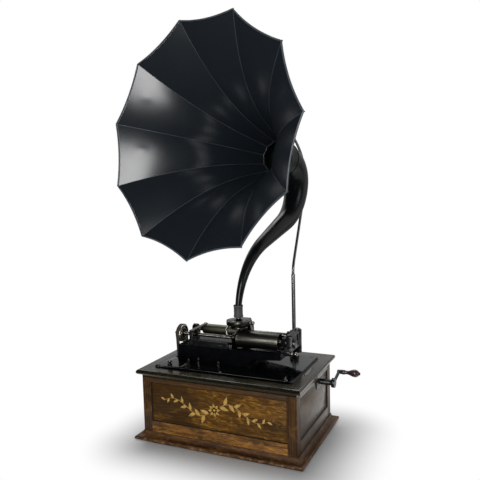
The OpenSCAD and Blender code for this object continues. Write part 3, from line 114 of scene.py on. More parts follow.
for name, at, aim, size, watts in (
    ("front_lamp", (0.32, -2.65, 1.12), (-0.05, 0, 0.6), (1.15, 1.6), 68),
    ("back_lamp", (-0.5, 1.2, 2.5), (0, 0, 0.3), (1.4, 1.4), 22),
    ("right_lamp", (2.4, -0.9, 1.3), (0, 0, 0.3), (1.0, 1.0), 10),
):
    lamp = bpy.data.objects.new(name, bpy.data.lights.new(name, "AREA"))
    lamp.data.shape = "RECTANGLE"
    lamp.data.size, lamp.data.size_y = size
    lamp.data.energy = watts
    lamp.location = at
    lamp.rotation_euler = (Vector(aim) - Vector(at)).to_track_quat("-Z", "Y").to_euler()
    scene.collection.objects.link(lamp)


def staged(name, points, faces, material):
    """A sheet of the studio, in metres, which is no part of the object."""
    mesh = bpy.data.meshes.new(name)
    mesh.from_pydata(points, [], faces)
    mesh.materials.append(material)
    made = bpy.data.objects.new(name, mesh)
    scene.collection.objects.link(made)
    return made


paper, tree, _ = surface("white paper floor")
tree.nodes.clear()
# The paper goes over into the white cove within 0.21 m of the part that lies in the cabinet's shadow.
shadow_mid, shadow_half, fade = (0.025, -0.03, 0), (0.195, 0.12, 1.0), 0.21
beside, zero = add(tree, "TexCoord", out="Object"), (0, 0, 0)
for how, by in (("SUBTRACT", shadow_mid), ("ABSOLUTE", zero), ("SUBTRACT", shadow_half), ("MAXIMUM", zero)):
    beside = add(tree, "VectorMath", {0: beside, 1: by}, operation=how)
away = add(tree, "VectorMath", {0: beside}, operation="LENGTH", out="Value")
far = add(tree, "MapRange", {0: away, 1: 0.0, 2: fade}, interpolation_type="SMOOTHSTEP")
lit = add(tree, "BsdfDiffuse", {"Color": linear("#e0e0e0")})
glow = add(tree, "Emission", {"Color": linear("#ffffff"), "Strength": 1.0})
both = add(tree, "MixShader", {0: far, 1: lit, 2: glow})
add(tree, "OutputMaterial", {0: both}, out=None)
floor_reach, floor_z = 9, -0.0003
corners = ((-1, -1), (1, -1), (1, 1), (-1, 1))
floor_points = [(floor_reach * x, floor_reach * y, floor_z) for x, y in corners]
paper_floor = staged("floor", floor_points, [(0, 1, 2, 3)], paper)
# The front lamp is shaded from the paper, so that the cabinet's shadow falls forward from the back lamp.
shaded = bpy.data.collections.new("shaded_from_front_lamp")
shaded.objects.link(paper_floor)
bpy.data.objects["front_lamp"].light_linking.receiver_collection = shaded

# Felt drinks nearly all light; the cloth is a dull middle grey.
felt, tree, shader = surface("black felt")
nap = add(tree, "TexNoise", {"Scale": 400.0, "Detail": 3.0})
nap = add(tree, "MapRange", {0: nap, 3: 0.006, 4: 0.02})
plugged(shader, {"Base Color": nap, "Roughness": 1.0, "Specular IOR Level": 0.0})
cloth, tree, shader = surface("grey cloth")
weave = add(tree, "TexNoise", {"Scale": 250.0, "Detail": 3.0})
weave = add(tree, "MapRange", {0: weave, 3: 0.55, 4: 0.65})
plugged(shader, {"Base Color": weave, "Roughness": 1.0})
laid, side, felt_near, felt_back, felt_top, felt_roof = 0.004, 3.4, -0.30, -3.4, 3.3, 0.7
strip_x, cloth_near, cloth_back, cloth_top = -0.36, 0.9, 3.2, 2.8
felt_line = ((felt_near, laid), (felt_back, laid), (felt_back, felt_top), (felt_roof, felt_top), (felt_roof, laid))
felt_points = [(x, y, z) for x in (-side, side) for y, z in felt_line]
# A strip on the left of the cabinet is for the panels on the right of the horn.
felt_points += [(x, y, laid) for x, y in ((-side, felt_near), (strip_x, felt_near))]
felt_points += [(x, y, laid) for x, y in ((strip_x, cloth_near), (-side, cloth_near))]
felt_faces = [(0, 1, 6, 5), (1, 2, 7, 6), (2, 3, 8, 7), (1, 2, 3, 4), (6, 7, 8, 9), (10, 11, 12, 13)]
cloth_line = ((cloth_near, laid), (cloth_back, laid), (cloth_back, cloth_top))
cloth_points = [(x, y, z) for x in (-side, side) for y, z in cloth_line]
for screen in (
    staged("felt_screen", felt_points, felt_faces, felt),
    staged("grey_screen", cloth_points, [(0, 1, 4, 3), (1, 2, 5, 4)], cloth),
):
    # The screens show only in what shines.
    screen.visible_camera = False
    screen.visible_shadow = False
    screen.visible_diffuse = False

# Plinth: a moulded oak base of four mitred lengths, run with a rounded nose below and a hollow above it,
# glued round the foot of the cabinet. Fumed dark, and rubbed bare in spots along the nose.
MM = 0.001
# A board's seed shifts its grain along its length, and this many times as far across it.
shift = 1.7


def oak(name, dark, middle, light, rough, coat, bare="#8a6a46", board_darkening=None, level=0.2):
    """Quartersawn oak under old varnish: drawn out bands, slanting ray flecks, fine pores, clouds of dirt."""
    made, t, shader = surface(name)
    grain = add(t, "Attribute", attribute_name="grain", out="Vector")
    wear = add(t, "Attribute", attribute_name="wear", out="Fac")
    layers = []
    for sizes, slant, detail, bend, low, high in (
        # Bands are 9 mm across and 30 times as long.
        ((270, 9, 20), 0.0, 5.0, 0.6, 0.30, 0.70),
        # Ray flecks lie slantwise, about 6 mm wide and 26 mm long.
        ((26, 6, 20), 0.42, 4.0, 1.3, 0.48, 0.66),
        # Pores are drawn 0.6 mm wide, coarser than the real ones, so that they show.
        ((18, 0.6, 0.9), 0.0, 2.0, 0.0, 0.34, 0.46),
        # Dirt lies in clouds of about 40 by 100 mm.
        ((100, 40, 50), 0.0, 4.0, 0.0, 0.42, 0.68),
    ):
        scale = [1 / (size * MM) for size in sizes]
        run = add(t, "Mapping", {0: grain, 2: (0, 0, slant), 3: scale})
        noise = add(t, "TexNoise", {0: run, "Scale": 1.0, "Detail": detail, "Distortion": bend})
        layers.append(add(t, "MapRange", {0: noise, 1: low, 2: high}))
    band, fleck, pore, dirt_and_darkening = layers
    dark_tone, dark_share = dark, 0.6
    if board_darkening:
        # One end or edge of the board is made darker; on the top rail this is painted shade under the lid.
        way, start, end, dark_tone = board_darkening
        dark_share = 0.85
        darkening_share = add(t, "VectorMath", {0: grain, 1: way}, operation="DOT_PRODUCT", out="Value")
        darkening_share = add(t, "MapRange", {0: darkening_share, 1: start, 2: end, 3: 1.0, 4: 0.0})
        dirt_and_darkening = add(t, "Math", {0: dirt_and_darkening, 1: darkening_share}, operation="ADD", use_clamp=True)
    tone = linear(dark)
    for layer, most, colour in ((band, 1.0, middle), (fleck, 0.7, light), (dirt_and_darkening, dark_share, dark_tone)):
        share = add(t, "Math", {0: layer, 1: most}, operation="MULTIPLY")
        tone = add(t, "Mix", {0: share, 6: tone, 7: linear(colour)}, data_type="RGBA", out=2)
    depth = add(t, "MapRange", {0: pore, 3: 0.62, 4: 1.0})
    tone = add(t, "VectorMath", {0: tone, "Scale": depth}, operation="SCALE")
    # Where an edge is worn, the varnish has come off in chips of about 9 mm and less.
    chips = add(t, "TexNoise", {0: grain, "Scale": 110.0, "Detail": 6.0})
    chips = add(t, "MapRange", {0: chips, 1: 0.50, 2: 0.66, 4: 0.8})
    chips = add(t, "Math", {0: chips, 1: wear}, operation="MULTIPLY")
    tone = add(t, "Mix", {0: chips, 6: tone, 7: linear(bare)}, data_type="RGBA", out=2)
    matt = add(t, "MapRange", {0: dirt_and_darkening, 3: rough, 4: rough + 0.14})
    dent = add(t, "Bump", {"Strength": 0.3, "Distance": 0.2 * MM, "Height": pore})
    plugged(shader, {"Base Color": tone, "Roughness": matt, "Normal": dent, "Specular IOR Level": level})
    plugged(shader, {"Coat Weight": coat, "Coat Roughness": 0.10})
    return made


def grained(mesh, along, seed):
    """Marks each corner of a wooden piece with its place in the board, the grain's direction first."""
    mark = mesh.attributes.new("grain", "FLOAT_VECTOR", "CORNER")
    for face in mesh.polygons:
        axis = along[face.index] if isinstance(along, list) else along
        for i in face.loop_indices:
            co = mesh.vertices[mesh.loops[i].vertex_index].co
            mark.data[i].vector = [co[axis] + seed, co[(axis + 2) % 3] + shift * seed, co[(axis + 1) % 3] + seed]


def smoothed(obj, sharp):
    """Smooth shading, with edges over the given angle kept sharp."""
    obj.data.shade_smooth()
    obj.data.set_sharp_from_angle(angle=math.radians(sharp))
    return obj


def outward(mesh):
    """Merges double points and turns the faces outwards."""
    bm = bmesh.new()
    bm.from_mesh(mesh)
    bmesh.ops.remove_doubles(bm, verts=bm.verts, dist=2e-6)
    bmesh.ops.recalc_face_normals(bm, faces=bm.faces)
    bm.to_mesh(mesh)
    bm.free()


def piece(name, points, faces, material):
    """A closed mesh from points in millimetres, its faces turned outwards."""
    mesh = bpy.data.meshes.new(name)
    mesh.from_pydata([[c * MM for c in p] for p in points], [], faces)
    mesh.materials.append(material)
    made = bpy.data.objects.new(name, mesh)
    scene.collection.objects.link(made)
    outward(mesh)
    return made


def fitted(obj, body, slot, *nodes):
    """Sets a finished piece on its body, in place of the CAD nodes that it stands for."""
    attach(obj, body)
    if nodes:
        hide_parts(*nodes)
    return obj


def arc(centre, radius, start, end, steps=10):
    """Points of a round stretch of a moulding's profile, angles in degrees."""
    turn = [math.radians(start + (end - start) * i / steps) for i in range(steps + 1)]
    return [(centre[0] + radius * math.cos(a), centre[1] + radius * math.sin(a)) for a in turn]


def hooped(name, rings, material):
    """A piece closed round on itself, its faces from each ring of points to the next."""
    n, count = len(rings[0]), len(rings)
    steps = [(k * n, (k + 1) % count * n) for k in range(count)]
    pairs = [(i, (i + 1) % n) for i in range(n)]
    faces = [(a + i, b + i, b + j, a + j) for a, b in steps for i, j in pairs]
    return piece(name, sum(rings, []), faces, material)


def mitred(name, rings, material, ways, seed, worn=None):
    """Four mitred lengths between the rings of points at their corners, the grain along each length."""
    made = hooped(name, rings, material)
    grained(made.data, [ways[k % 2] for k in range(4) for _ in rings[0]], seed)
    if worn:
        made.data.attributes.new("wear", "FLOAT", "POINT").data.foreach_set("value", worn * 4)
    return smoothed(made, 35)


body_w, body_d, body_top = 430, 284, 168
plinth_oak = oak("fumed oak, plinth", "#2a1a0d", "#543619", "#6a4822", 0.40, 0.08, bare="#84603f")
nose, hollow, lip, spread, plinth_h = 5, 12, 2, 20, 22
plinth_profile = (
    [(0, 0)]
    + arc((spread - nose, nose), nose, -90, 90)
    + arc((lip + hollow, 2 * nose + hollow), hollow, 270, 180)
    + [(0, plinth_h)]
)
plinth_rings = [
    [(sx * (body_w / 2 + o), sy * (body_d / 2 + o), z) for o, z in plinth_profile] for sx, sy in corners
]
# The nose is worn the most, then the wood just behind it and the top edge.
plinth_wear = [
    1.0 if o > spread - 0.6 else 0.4 if o > spread - 2.5 else 0.3 if z > plinth_h - 1 else 0.0
    for o, z in plinth_profile
]
plinth = mitred("plinth_oak", plinth_rings, plinth_oak, (0, 1), 0.31, plinth_wear)
fitted(plinth, "cabinet", "oak_dark", "plinth_moulding")

# Corner posts: square oak stiles, glued at the corners with the rails and panels between them. The two at
# the front have three reeds run down their faces between narrow quirks.
post_oak = oak("fumed oak, posts", "#24170b", "#4a3013", "#60411c", 0.38, 0.1)
post_w, reeds, reed_in, quirk = 25, 3, 3.2, 1.6
pitch_of_reeds = (post_w - 2 * reed_in) / reeds


def reeded_edge():
    """Front edge of a post's outline, from its outer corner: quirks between half-round reeds."""
    line = [(0, 0), (reed_in - quirk / 2, 0), (reed_in - quirk / 2, quirk)]
    reed_r = (pitch_of_reeds - quirk) / 2
    for k in range(reeds):
        mid = reed_in + (k + 0.5) * pitch_of_reeds
        turn = [math.pi * i / 10 for i in range(11)]
        line += [(mid - reed_r * math.cos(a), quirk - quirk * math.sin(a)) for a in turn]
    far = post_w - reed_in + quirk / 2
    return line + [(far, quirk), (far, 0), (post_w, 0)]


for name, sx, sy in (
    ("post_front_left", -1, -1), ("post_front_right", 1, -1), ("post_back_left", -1, 1), ("post_back_right", 1, 1),
):
    outline = (reeded_edge() if sy < 0 else [(0, 0), (post_w, 0)]) + [(post_w, post_w), (0, post_w)]
    n = len(outline)
    points = [(sx * (body_w / 2 - u), sy * (body_d / 2 - v), z) for z in (0, body_top) for u, v in outline]
    faces = [list(range(n)), list(range(2 * n - 1, n - 1, -1))]
    faces += [(i, (i + 1) % n, n + (i + 1) % n, n + i) for i in range(n)]
    post = smoothed(piece(name, points, faces, post_oak), 35)
    grained(post.data, 2, 0.13 * (sx + 3 * sy))
    fitted(post, "cabinet", "oak_dark", "corner_posts")

# Rails and panels: oak boards between the posts, the panels set back 3.5 mm behind the rails. The front is
# the best board, golden with slanting flecks; the sides, back and bottom are plainer.
front_seed, rail_seed = 0.55, 0.65
# Darkening of a board: the way along and across the board in which it thins out, where it is full, where it ends,
# its colour.
steep = 1.2
darkening_offset = (1 - shift * steep) * front_seed
# The front board is darker towards its left end, and the darkening reaches further along near its top.
left_end_darkening = ((1, -steep, 0), darkening_offset - 0.36, darkening_offset - 0.10, "#2b1a05")
# Painted shade: the top rail is darkened where the lid's shadow falls on it.
painted_shade_under_lid = ((0, 1, 0), 0.155 + shift * rail_seed, 0.10 + shift * rail_seed, "#281806")
front_oak = oak("golden oak, front", "#2b1a05", "#603f0e", "#8a6222", 0.36, 0.0, board_darkening=left_end_darkening, level=0.12)
rail_oak = oak("golden oak, front rail", "#3c260d", "#7c511e", "#9f7232", 0.34, 0.08, board_darkening=painted_shade_under_lid)
side_oak = oak("fumed oak, sides", "#392d20", "#584836", "#655442", 0.30, 0.28, level=0.3)
base_oak = oak("plain oak, inside and bottom", "#4a3320", "#7a5b38", "#8a6b45", 0.6, 0.0)


def rounded(obj, edge, sharp=30):
    """Breaks the sharp edges with a small round and bakes that into the mesh."""
    obj.data.shade_smooth()
    bevel = obj.modifiers.new("edges", "BEVEL")
    bevel.limit_method = "ANGLE"
    bevel.angle_limit = math.radians(sharp)
    bevel.width = edge * MM
    bevel.segments = 2
    bevel.harden_normals = True
    return baked(obj)


def baked(obj):
    """Turns an object's modifiers into its plain mesh."""
    bpy.context.view_layer.update()
    made = bpy.data.meshes.new_from_object(obj.evaluated_get(bpy.context.evaluated_depsgraph_get()))
    obj.modifiers.clear()
    obj.data = made
    return obj


def dressed(node, material, edge, along=None, seed=0.0, sharp=30):
    """A copy of a CAD node, its triangles merged, with a small round on its edges."""
    bm = bmesh.new()
    bm.from_mesh(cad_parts[node].data)
    bmesh.ops.remove_doubles(bm, verts=bm.verts, dist=2e-6)
    bmesh.ops.dissolve_limit(bm, angle_limit=math.radians(0.3), verts=bm.verts, edges=bm.edges)
    mesh = bpy.data.meshes.new(node + "_finished")
    bm.to_mesh(mesh)
    bm.free()
    mesh.materials.clear()
    mesh.materials.append(material)
    made = bpy.data.objects.new(node + "_finished", mesh)
    scene.collection.objects.link(made)
    if edge:
        rounded(made, edge, sharp)
    else:
        smoothed(made, sharp)
    if along is not None:
        grained(made.data, along, seed)
    return made


def mounted(node, body, slot, material, edge, **how):
    """Dresses a CAD node in its material and sets the piece on its body, in the node's place."""
    return fitted(dressed(node, material, edge, **how), body, slot, node)


for node, material, along, slot, seed in (
    ("front_rails", rail_oak, 0, "oak_front", rail_seed),
    ("front_panel", front_oak, 0, "oak_front", front_seed),
    ("side_rails", side_oak, 1, "oak_dark", 0.5),
    ("left_panel", side_oak, 1, "oak_dark", 0.9),
    ("right_panel", side_oak, 1, "oak_dark", 1.3),
    ("back_panel", side_oak, 0, "oak_dark", 1.7),
    ("bottom_board", base_oak, 0, "oak_dark", 2.1),
):
    mounted(node, "cabinet", slot, material, 0.7, along=along, seed=seed)

# Beads: thin quarter rounds of oak, nearly black, pinned round the front and side panels in the corner between
# panel and rail. Their near black is painted shade, the shadow line in that corner.
shade_line_oak = oak("nearly black oak beads, painted shade line", "#0e0804", "#1b1008", "#271809", 0.42, 0.05)
rail_low, rail_high, recess, bead_r = 50, body_top - 12, 3.5, 2.2
bead_line = [(0, 0)] + [(u, v) for v, u in arc((0, 0), bead_r, 0, 90, 6)]
for name, run, sign, opening, face in (
    ("front_panel_bead", 0, -1, body_w / 2 - post_w, body_d / 2 - recess),
    ("left_panel_bead", 1, -1, body_d / 2 - post_w, body_w / 2 - recess),
    ("right_panel_bead", 1, 1, body_d / 2 - post_w, body_w / 2 - recess),
):
    rings = []
    for sx, sz in corners:
        ring = [[sign * (face + v)] * 2 + [rail_low + u if sz < 0 else rail_high - u] for u, v in bead_line]
        for point, (u, _) in zip(ring, bead_line):
            point[run] = sx * (opening - u)
        rings.append(ring)
    fitted(mitred(name, rings, shade_line_oak, (run, 2), 0.23), "cabinet", "oak_dark")

# Transfer ornament on the front: a rosette between two leafy stems, printed in gold with a dark outline and
# laid on the panel under the varnish. It is as thin as a print, and worn where hands have rubbed it.
gold_face = recess - body_d / 2
gold, tree, shader = surface("gilt transfer")
where = add(tree, "TexCoord", out="Object")
# Rubbed spots of about 6 mm, and a fine crackle of 1.5 mm.
rubbed = add(tree, "TexNoise", {0: where, "Scale": 1 / (6 * MM), "Detail": 6.0, "Roughness": 0.65})
rubbed = add(tree, "MapRange", {0: rubbed, 1: 0.46, 2: 0.70})
tone = add(tree, "Mix", {0: rubbed, 6: linear("#a07e35"), 7: linear("#614318")}, data_type="RGBA", out=2)
crackle = add(tree, "TexNoise", {0: where, "Scale": 1 / (1.5 * MM), "Detail": 2.0})
crackle = add(tree, "MapRange", {0: crackle, 3: 0.36, 4: 0.56})
plugged(shader, {"Base Color": tone, "Roughness": crackle})
outline_ink, tree, shader = surface("dark outline of the transfer")
where = add(tree, "TexCoord", out="Object")
# Faded in spots of about 4 mm.
faded = add(tree, "TexNoise", {0: where, "Scale": 1 / (4 * MM), "Detail": 4.0})
tone = add(tree, "Mix", {0: faded, 6: linear("#160d05"), 7: linear("#3a2410")}, data_type="RGBA", out=2)
matt = add(tree, "MapRange", {0: faded, 3: 0.35, 4: 0.55})
plugged(shader, {"Base Color": tone, "Roughness": matt})


def tree_for(name, **sizes):
    """A new Geometry Nodes tree with a geometry input and named inputs for its sizes."""
    made = bpy.data.node_groups.new(name, "GeometryNodeTree")
    made.interface.new_socket("Geometry", in_out="INPUT", socket_type="NodeSocketGeometry")
    for label, kind in sizes.items():
        made.interface.new_socket(label, in_out="INPUT", socket_type="NodeSocket" + kind)
    made.interface.new_socket("Geometry", in_out="OUTPUT", socket_type="NodeSocketGeometry")
    return made, made.nodes.new("NodeGroupInput").outputs


def ended(tree, shape, material):
    """Ends a tree: its instances are made real, and its material is set."""
    real = add(tree, "RealizeInstances", {0: shape})
    done = add(tree, "SetMaterial", {"Geometry": real, "Material": material})
    add(tree, "GroupOutput", {0: done}, out=None)


def strewn(tree, points, shape, turn, scale=(1, 1, 1)):
    """A copy of a shape on each point, turned by its own angles and scaled."""
    turn = add(tree, "CombineXYZ", turn)
    turn = add(tree, "EulerToRotation", {0: turn})
    return add(tree, "InstanceOnPoints", {"Points": points, "Instance": shape, "Rotation": turn, "Scale": scale})


def grown(name, tree, points, edges=(), thick=None, **sizes):
    """A piece that a tree makes from points in metres; thick is a radius for each of them."""
    mesh = bpy.data.meshes.new(name)
    mesh.from_pydata(points, edges, [])
    if thick:
        mesh.attributes.new("thick", "FLOAT", "POINT").data.foreach_set("value", thick)
    made = bpy.data.objects.new(name, mesh)
    scene.collection.objects.link(made)
    maker = made.modifiers.new("shape", "NODES")
    maker.node_group = tree
    for item in tree.interface.items_tree:
        if item.in_out == "INPUT" and item.name in sizes:
            maker[item.identifier] = sizes[item.name]
    baked(made)
    made.data.materials.clear()
    made.data.materials.append(sizes["Material"])
    outward(made.data)
    return made


def chain(count, closed=False):
    """Edges that join points in their order."""
    return [(i, i + 1) for i in range(count - 1)] + ([(count - 1, 0)] if closed else [])


def leaf_shape(tree, length, width, thick):
    """A pointed leaf along X in the upright plane, crowned to the front, from nodes."""
    grid = add(tree, "MeshGrid", {0: 1.0, 1: 1.0, 2: 11, 3: 5})
    at = add(tree, "SeparateXYZ", {0: add(tree, "InputPosition")}, out=None).outputs
    value = {}
    for name, how, *terms in (
        ("u", "ADD", at[0], 0.5), ("bend", "POWER", "u", 0.75), ("bend", "MULTIPLY", "bend", math.pi),
        ("belly", "SINE", "bend"), ("belly", "MAXIMUM", "belly", 0.04),
        ("half", "MULTIPLY", at[1], width), ("up", "MULTIPLY", "half", "belly"), ("along", "MULTIPLY", "u", length),
        # The leaf curls a little upwards towards its tip.
        ("curl", "POWER", "u", 2.0), ("curl", "MULTIPLY", "curl", width), ("up", "MULTIPLY_ADD", "curl", 0.3, "up"),
    ):
        terms = {i: value.get(term, term) for i, term in enumerate(terms)}
        value[name] = add(tree, "Math", terms, operation=how)
    spot = add(tree, "CombineXYZ", {0: value["along"], 2: value["up"]})
    flat = add(tree, "SetPosition", {0: grid, "Position": spot})
    grow = add(tree, "CombineXYZ", {1: thick})
    front = add(tree, "ExtrudeMesh", {0: flat, "Offset": grow, "Offset Scale": 1.0, "Individual": False})
    return closed_by(tree, front, flat)


def closed_by(tree, shell, lid):
    """Joins an extruded sheet and the sheet it came from into a closed shell."""
    back = add(tree, "FlipFaces", {0: lid})
    whole = add(tree, "JoinGeometry", {0: [shell, back]})
    return add(tree, "MergeByDistance", {0: whole, "Distance": 2e-6})


# Stem with leaves by turns on its two sides, smaller towards the tip.
spray, size = tree_for(
    "leafy_stem", Leaves="Int", Length="Float", Width="Float", Thick="Float", Stem="Float", Spread="Float",
    Material="Material",
)
line = add(spray, "MeshToCurve", {0: size["Geometry"]})
spots = add(spray, "CurveToPoints", {0: line, "Count": size["Leaves"]}, out=None).outputs
way = add(spray, "SeparateXYZ", {0: spots["Tangent"]}, out=None).outputs
angle = add(spray, "Math", {0: way[2], 1: way[0]}, operation="ARCTAN2")
number = add(spray, "InputIndex")
side = add(spray, "Math", {0: number, 1: 2.0}, operation="MODULO")
side = add(spray, "MapRange", {0: side, 3: -1.0, 4: 1.0})
lean = add(spray, "Math", {0: side, 1: size["Spread"], 2: angle}, operation="MULTIPLY_ADD")
lean = add(spray, "Math", {0: lean, 1: -1.0}, operation="MULTIPLY")
last = add(spray, "Math", {0: size["Leaves"], 1: 1.0}, operation="SUBTRACT")
small = add(spray, "MapRange", {0: number, 2: last, 3: 1.0, 4: 0.55})
mirror = add(spray, "Math", {0: small, 1: side}, operation="MULTIPLY")
stretch = add(spray, "CombineXYZ", {0: small, 1: 1.0, 2: mirror})
leaf = leaf_shape(spray, size["Length"], size["Width"], size["Thick"])
leaves = strewn(spray, spots[0], leaf, {1: lean}, stretch)
wire = add(spray, "CurvePrimitiveCircle", {0: 8, 4: size["Stem"]})
thin = add(spray, "InputNamedAttribute", {0: "thick"}, data_type="FLOAT")
stem = add(spray, "CurveToMesh", {0: line, 1: wire, "Scale": thin, "Fill Caps": True})
# The stem is pressed nearly flat.
at = add(spray, "InputPosition")
press = add(spray, "VectorMath", {0: (1, 0.12, 1), 1: at}, operation="MULTIPLY")
stem = add(spray, "SetPosition", {0: stem, "Position": press})
whole = add(spray, "JoinGeometry", {0: [leaves, stem]})
ended(spray, whole, size["Material"])

# Rosette: petals round a small domed heart.
rose, size = tree_for("rosette", Petals="Int", Length="Float", Width="Float", Thick="Float", Material="Material")
petal = leaf_shape(rose, size["Length"], size["Width"], size["Thick"])
ring = add(rose, "MeshLine", {"Count": size["Petals"], "Offset": (0, 0, 0)}, mode="OFFSET")
number = add(rose, "InputIndex")
share = add(rose, "Math", {0: number, 1: size["Petals"]}, operation="DIVIDE")
angle = add(rose, "Math", {0: share, 1: 2 * math.pi}, operation="MULTIPLY")
petals = strewn(rose, ring, petal, {1: angle})
heart_r = 3.5
ball = add(rose, "MeshUVSphere", {0: 20, 1: 10, 2: heart_r * MM})
heart = add(rose, "Transform", {0: ball, "Scale": (1, 0.1, 1)})
whole = add(rose, "JoinGeometry", {0: [petals, heart]})
ended(rose, whole, size["Material"])

flower_x, flower_z, stem_start, stem_reach, wave, stem_steps = -5, 104, 16, 128, 21, 40
petal_l, petal_w, leaf_l, leaf_w, stem_r = 17, 8.5, 25, 10, 1.0
wave_from, wave_run, wave_fade, stem_taper = 0.08, 0.82, 0.3, 0.6
shares = [i / stem_steps for i in range(stem_steps + 1)]
rises = [wave * math.sin(2 * math.pi * (wave_from + wave_run * u)) * (1 - wave_fade * u) for u in shares]
# The outline is the same print, somewhat larger, under the gilt one.
for kind, ink, grow, proud in (("outline", outline_ink, 1.0, 0.10), ("gilt", gold, 0.0, 0.22)):
    at = Matrix.Translation((flower_x * MM, (gold_face - proud) * MM, flower_z * MM))
    flower = grown(
        "ornament_rosette_" + kind, rose, [(0, 0, 0)], Petals=8, Length=(petal_l + grow) * MM,
        Width=(petal_w + 1.6 * grow) * MM, Thick=proud * MM, Material=ink,
    )
    flower.data.transform(at)
    fitted(flower, "cabinet", "oak_front")
    for way, label in ((-1, "left"), (1, "right")):
        points = [(way * (stem_start + stem_reach * u) * MM, 0, way * r * MM) for u, r in zip(shares, rises)]
        branch = grown(
            "ornament_stem_" + label + "_" + kind, spray, points, chain(len(points)),
            [1 - stem_taper * u for u in shares], Leaves=11, Length=(leaf_l + 1.5 * grow) * MM,
            Width=(leaf_w + 2.2 * grow) * MM, Thick=proud * MM, Stem=(stem_r + 0.7 * grow) * MM, Spread=0.72,
            Material=ink,
        )
        branch.data.transform(at)
        fitted(branch, "cabinet", "oak_front")

# Lid frame: four mitred oak lengths with a rounded nose over a small hollow, screwed to the posts. Dark,
# polished and slightly green with age; the bedplate lies in its opening.
lid_oak = oak("polished oak, lid", "#18150a", "#2d2711", "#3d3519", 0.20, 0.4, "#6d6038", level=0.3)
lid_w, lid_d, lid_t, lid_nose, lid_over, lid_cove = 455, 309, 21, 6.5, 12.5, 5.5
hole_w, hole_d, hole_y = 366, 198, -7
lid_top = body_top + lid_t
edge_line = (
    [(-lid_over, body_top)]
    + arc((-lid_over + lid_cove, lid_top - 2 * lid_nose - lid_cove), lid_cove, 180, 90)
    + arc((-lid_nose, lid_top - lid_nose), lid_nose, -90, 90)
)
lid_rings = []
for sx, sy in corners:
    ring = [(sx * (lid_w / 2 + o), sy * (lid_d / 2 + o), z) for o, z in edge_line]
    lid_rings.append(ring + [(sx * hole_w / 2, hole_y + sy * hole_d / 2, z) for z in (lid_top, body_top)])
# Only the last four points of the nose, at the top edge, are rubbed.
lid_wear = [0.0] * (len(edge_line) - 4) + [0.25] * 4 + [0.0] * 2
lid = mitred("lid_frame_oak", lid_rings, lid_oak, (0, 1), 0.77, lid_wear)
fitted(lid, "cabinet", "oak_lid", "lid_frame")

# Bedplate and casting: cast iron under several coats of baked black japan, as bright as a mirror. The plate
# lies on the lid frame's opening, and the casting is screwed down on it.
def metal(name, base, rough, metallic, tarnish, patch, amount, wave=0.0, level=0.5):
    """A plated, japanned or bare metal: patches of tarnish and of dulled polish, and a flat or wavy surface."""
    made, t, shader = surface(name)
    where = add(t, "TexCoord", out="Object")
    spots = add(t, "TexNoise", {0: where, "Scale": 1 / (patch * MM), "Detail": 6.0, "Roughness": 0.6})
    spots = add(t, "MapRange", {0: spots, 1: 0.42, 2: 0.68, 4: amount})
    tone = add(t, "Mix", {0: spots, 6: linear(base), 7: linear(tarnish)}, data_type="RGBA", out=2)
    dull = add(t, "MapRange", {0: spots, 2: amount, 3: rough, 4: rough + 0.28 * amount})
    plugged(shader, {"Base Color": tone, "Roughness": dull, "Metallic": metallic, "Specular IOR Level": level})
    if wave:
        # Castings, leather and rubber are uneven over about 14 mm.
        swell = add(t, "TexNoise", {0: where, "Scale": 1 / (14 * MM), "Detail": 2.0})
        bump = add(t, "Bump", {"Strength": 0.5, "Distance": wave * MM, "Height": swell})
        plugged(shader, {"Normal": bump})
    return made


# Japan is black glass to the eye where it was polished, and greyer where it is worn. Nickel has gone grey and
# cloudy, nearly black on the castings; bare steel and cut brass are duller still, in small spots.
mirror_japan = metal("black japan, polished bedplate", "#0b0c0e", 0.06, 0.0, "#121417", 40, 0.4)
japan = metal("black japan on cast iron", "#111317", 0.18, 0.0, "#1a1c20", 22, 0.5, 0.02, 0.14)
dull_japan = metal("worn black japan", "#0c0c0e", 0.26, 0.0, "#191817", 14, 0.5, 0.03, 0.35)
nickel = metal("worn nickel plate", "#5f5d56", 0.26, 1.0, "#3f3c36", 12, 0.5)
bright = metal("polished nickel plate", "#8a8880", 0.18, 1.0, "#63615a", 14, 0.5)
smoked = metal("blackened nickel", "#4a4943", 0.28, 1.0, "#262521", 16, 0.6)
steel = metal("bare steel", "#6c6b68", 0.27, 1.0, "#3a3733", 8, 0.6)
brass = metal("cut brass", "#a58a4d", 0.28, 1.0, "#6b5630", 9, 0.6)
mounted("bedplate", "cabinet", "japanned_iron", mirror_japan, 0.4)
mounted("body_casting", "cabinet", "japanned_iron", japan, 1.2)
mounted("guide_bar", "cabinet", "japanned_iron", dull_japan, 0.5)
mounted("oil_cups", "cabinet", "nickel", smoked, 0.3)
mounted("control_posts", "cabinet", "japanned_iron", dull_japan, 0.4)
mounted("catch_plate", "cabinet", "nickel", bright, 0.3)

# Bedplate screws: six round heads with a saw-cut slot, turned from steel rod and nickelled, each stopped
# with its slot at another angle.
screws, size = tree_for(
    "slotted_screws", Radius="Float", Dome="Float", Slot="Float", Seed="Int", Material="Material"
)
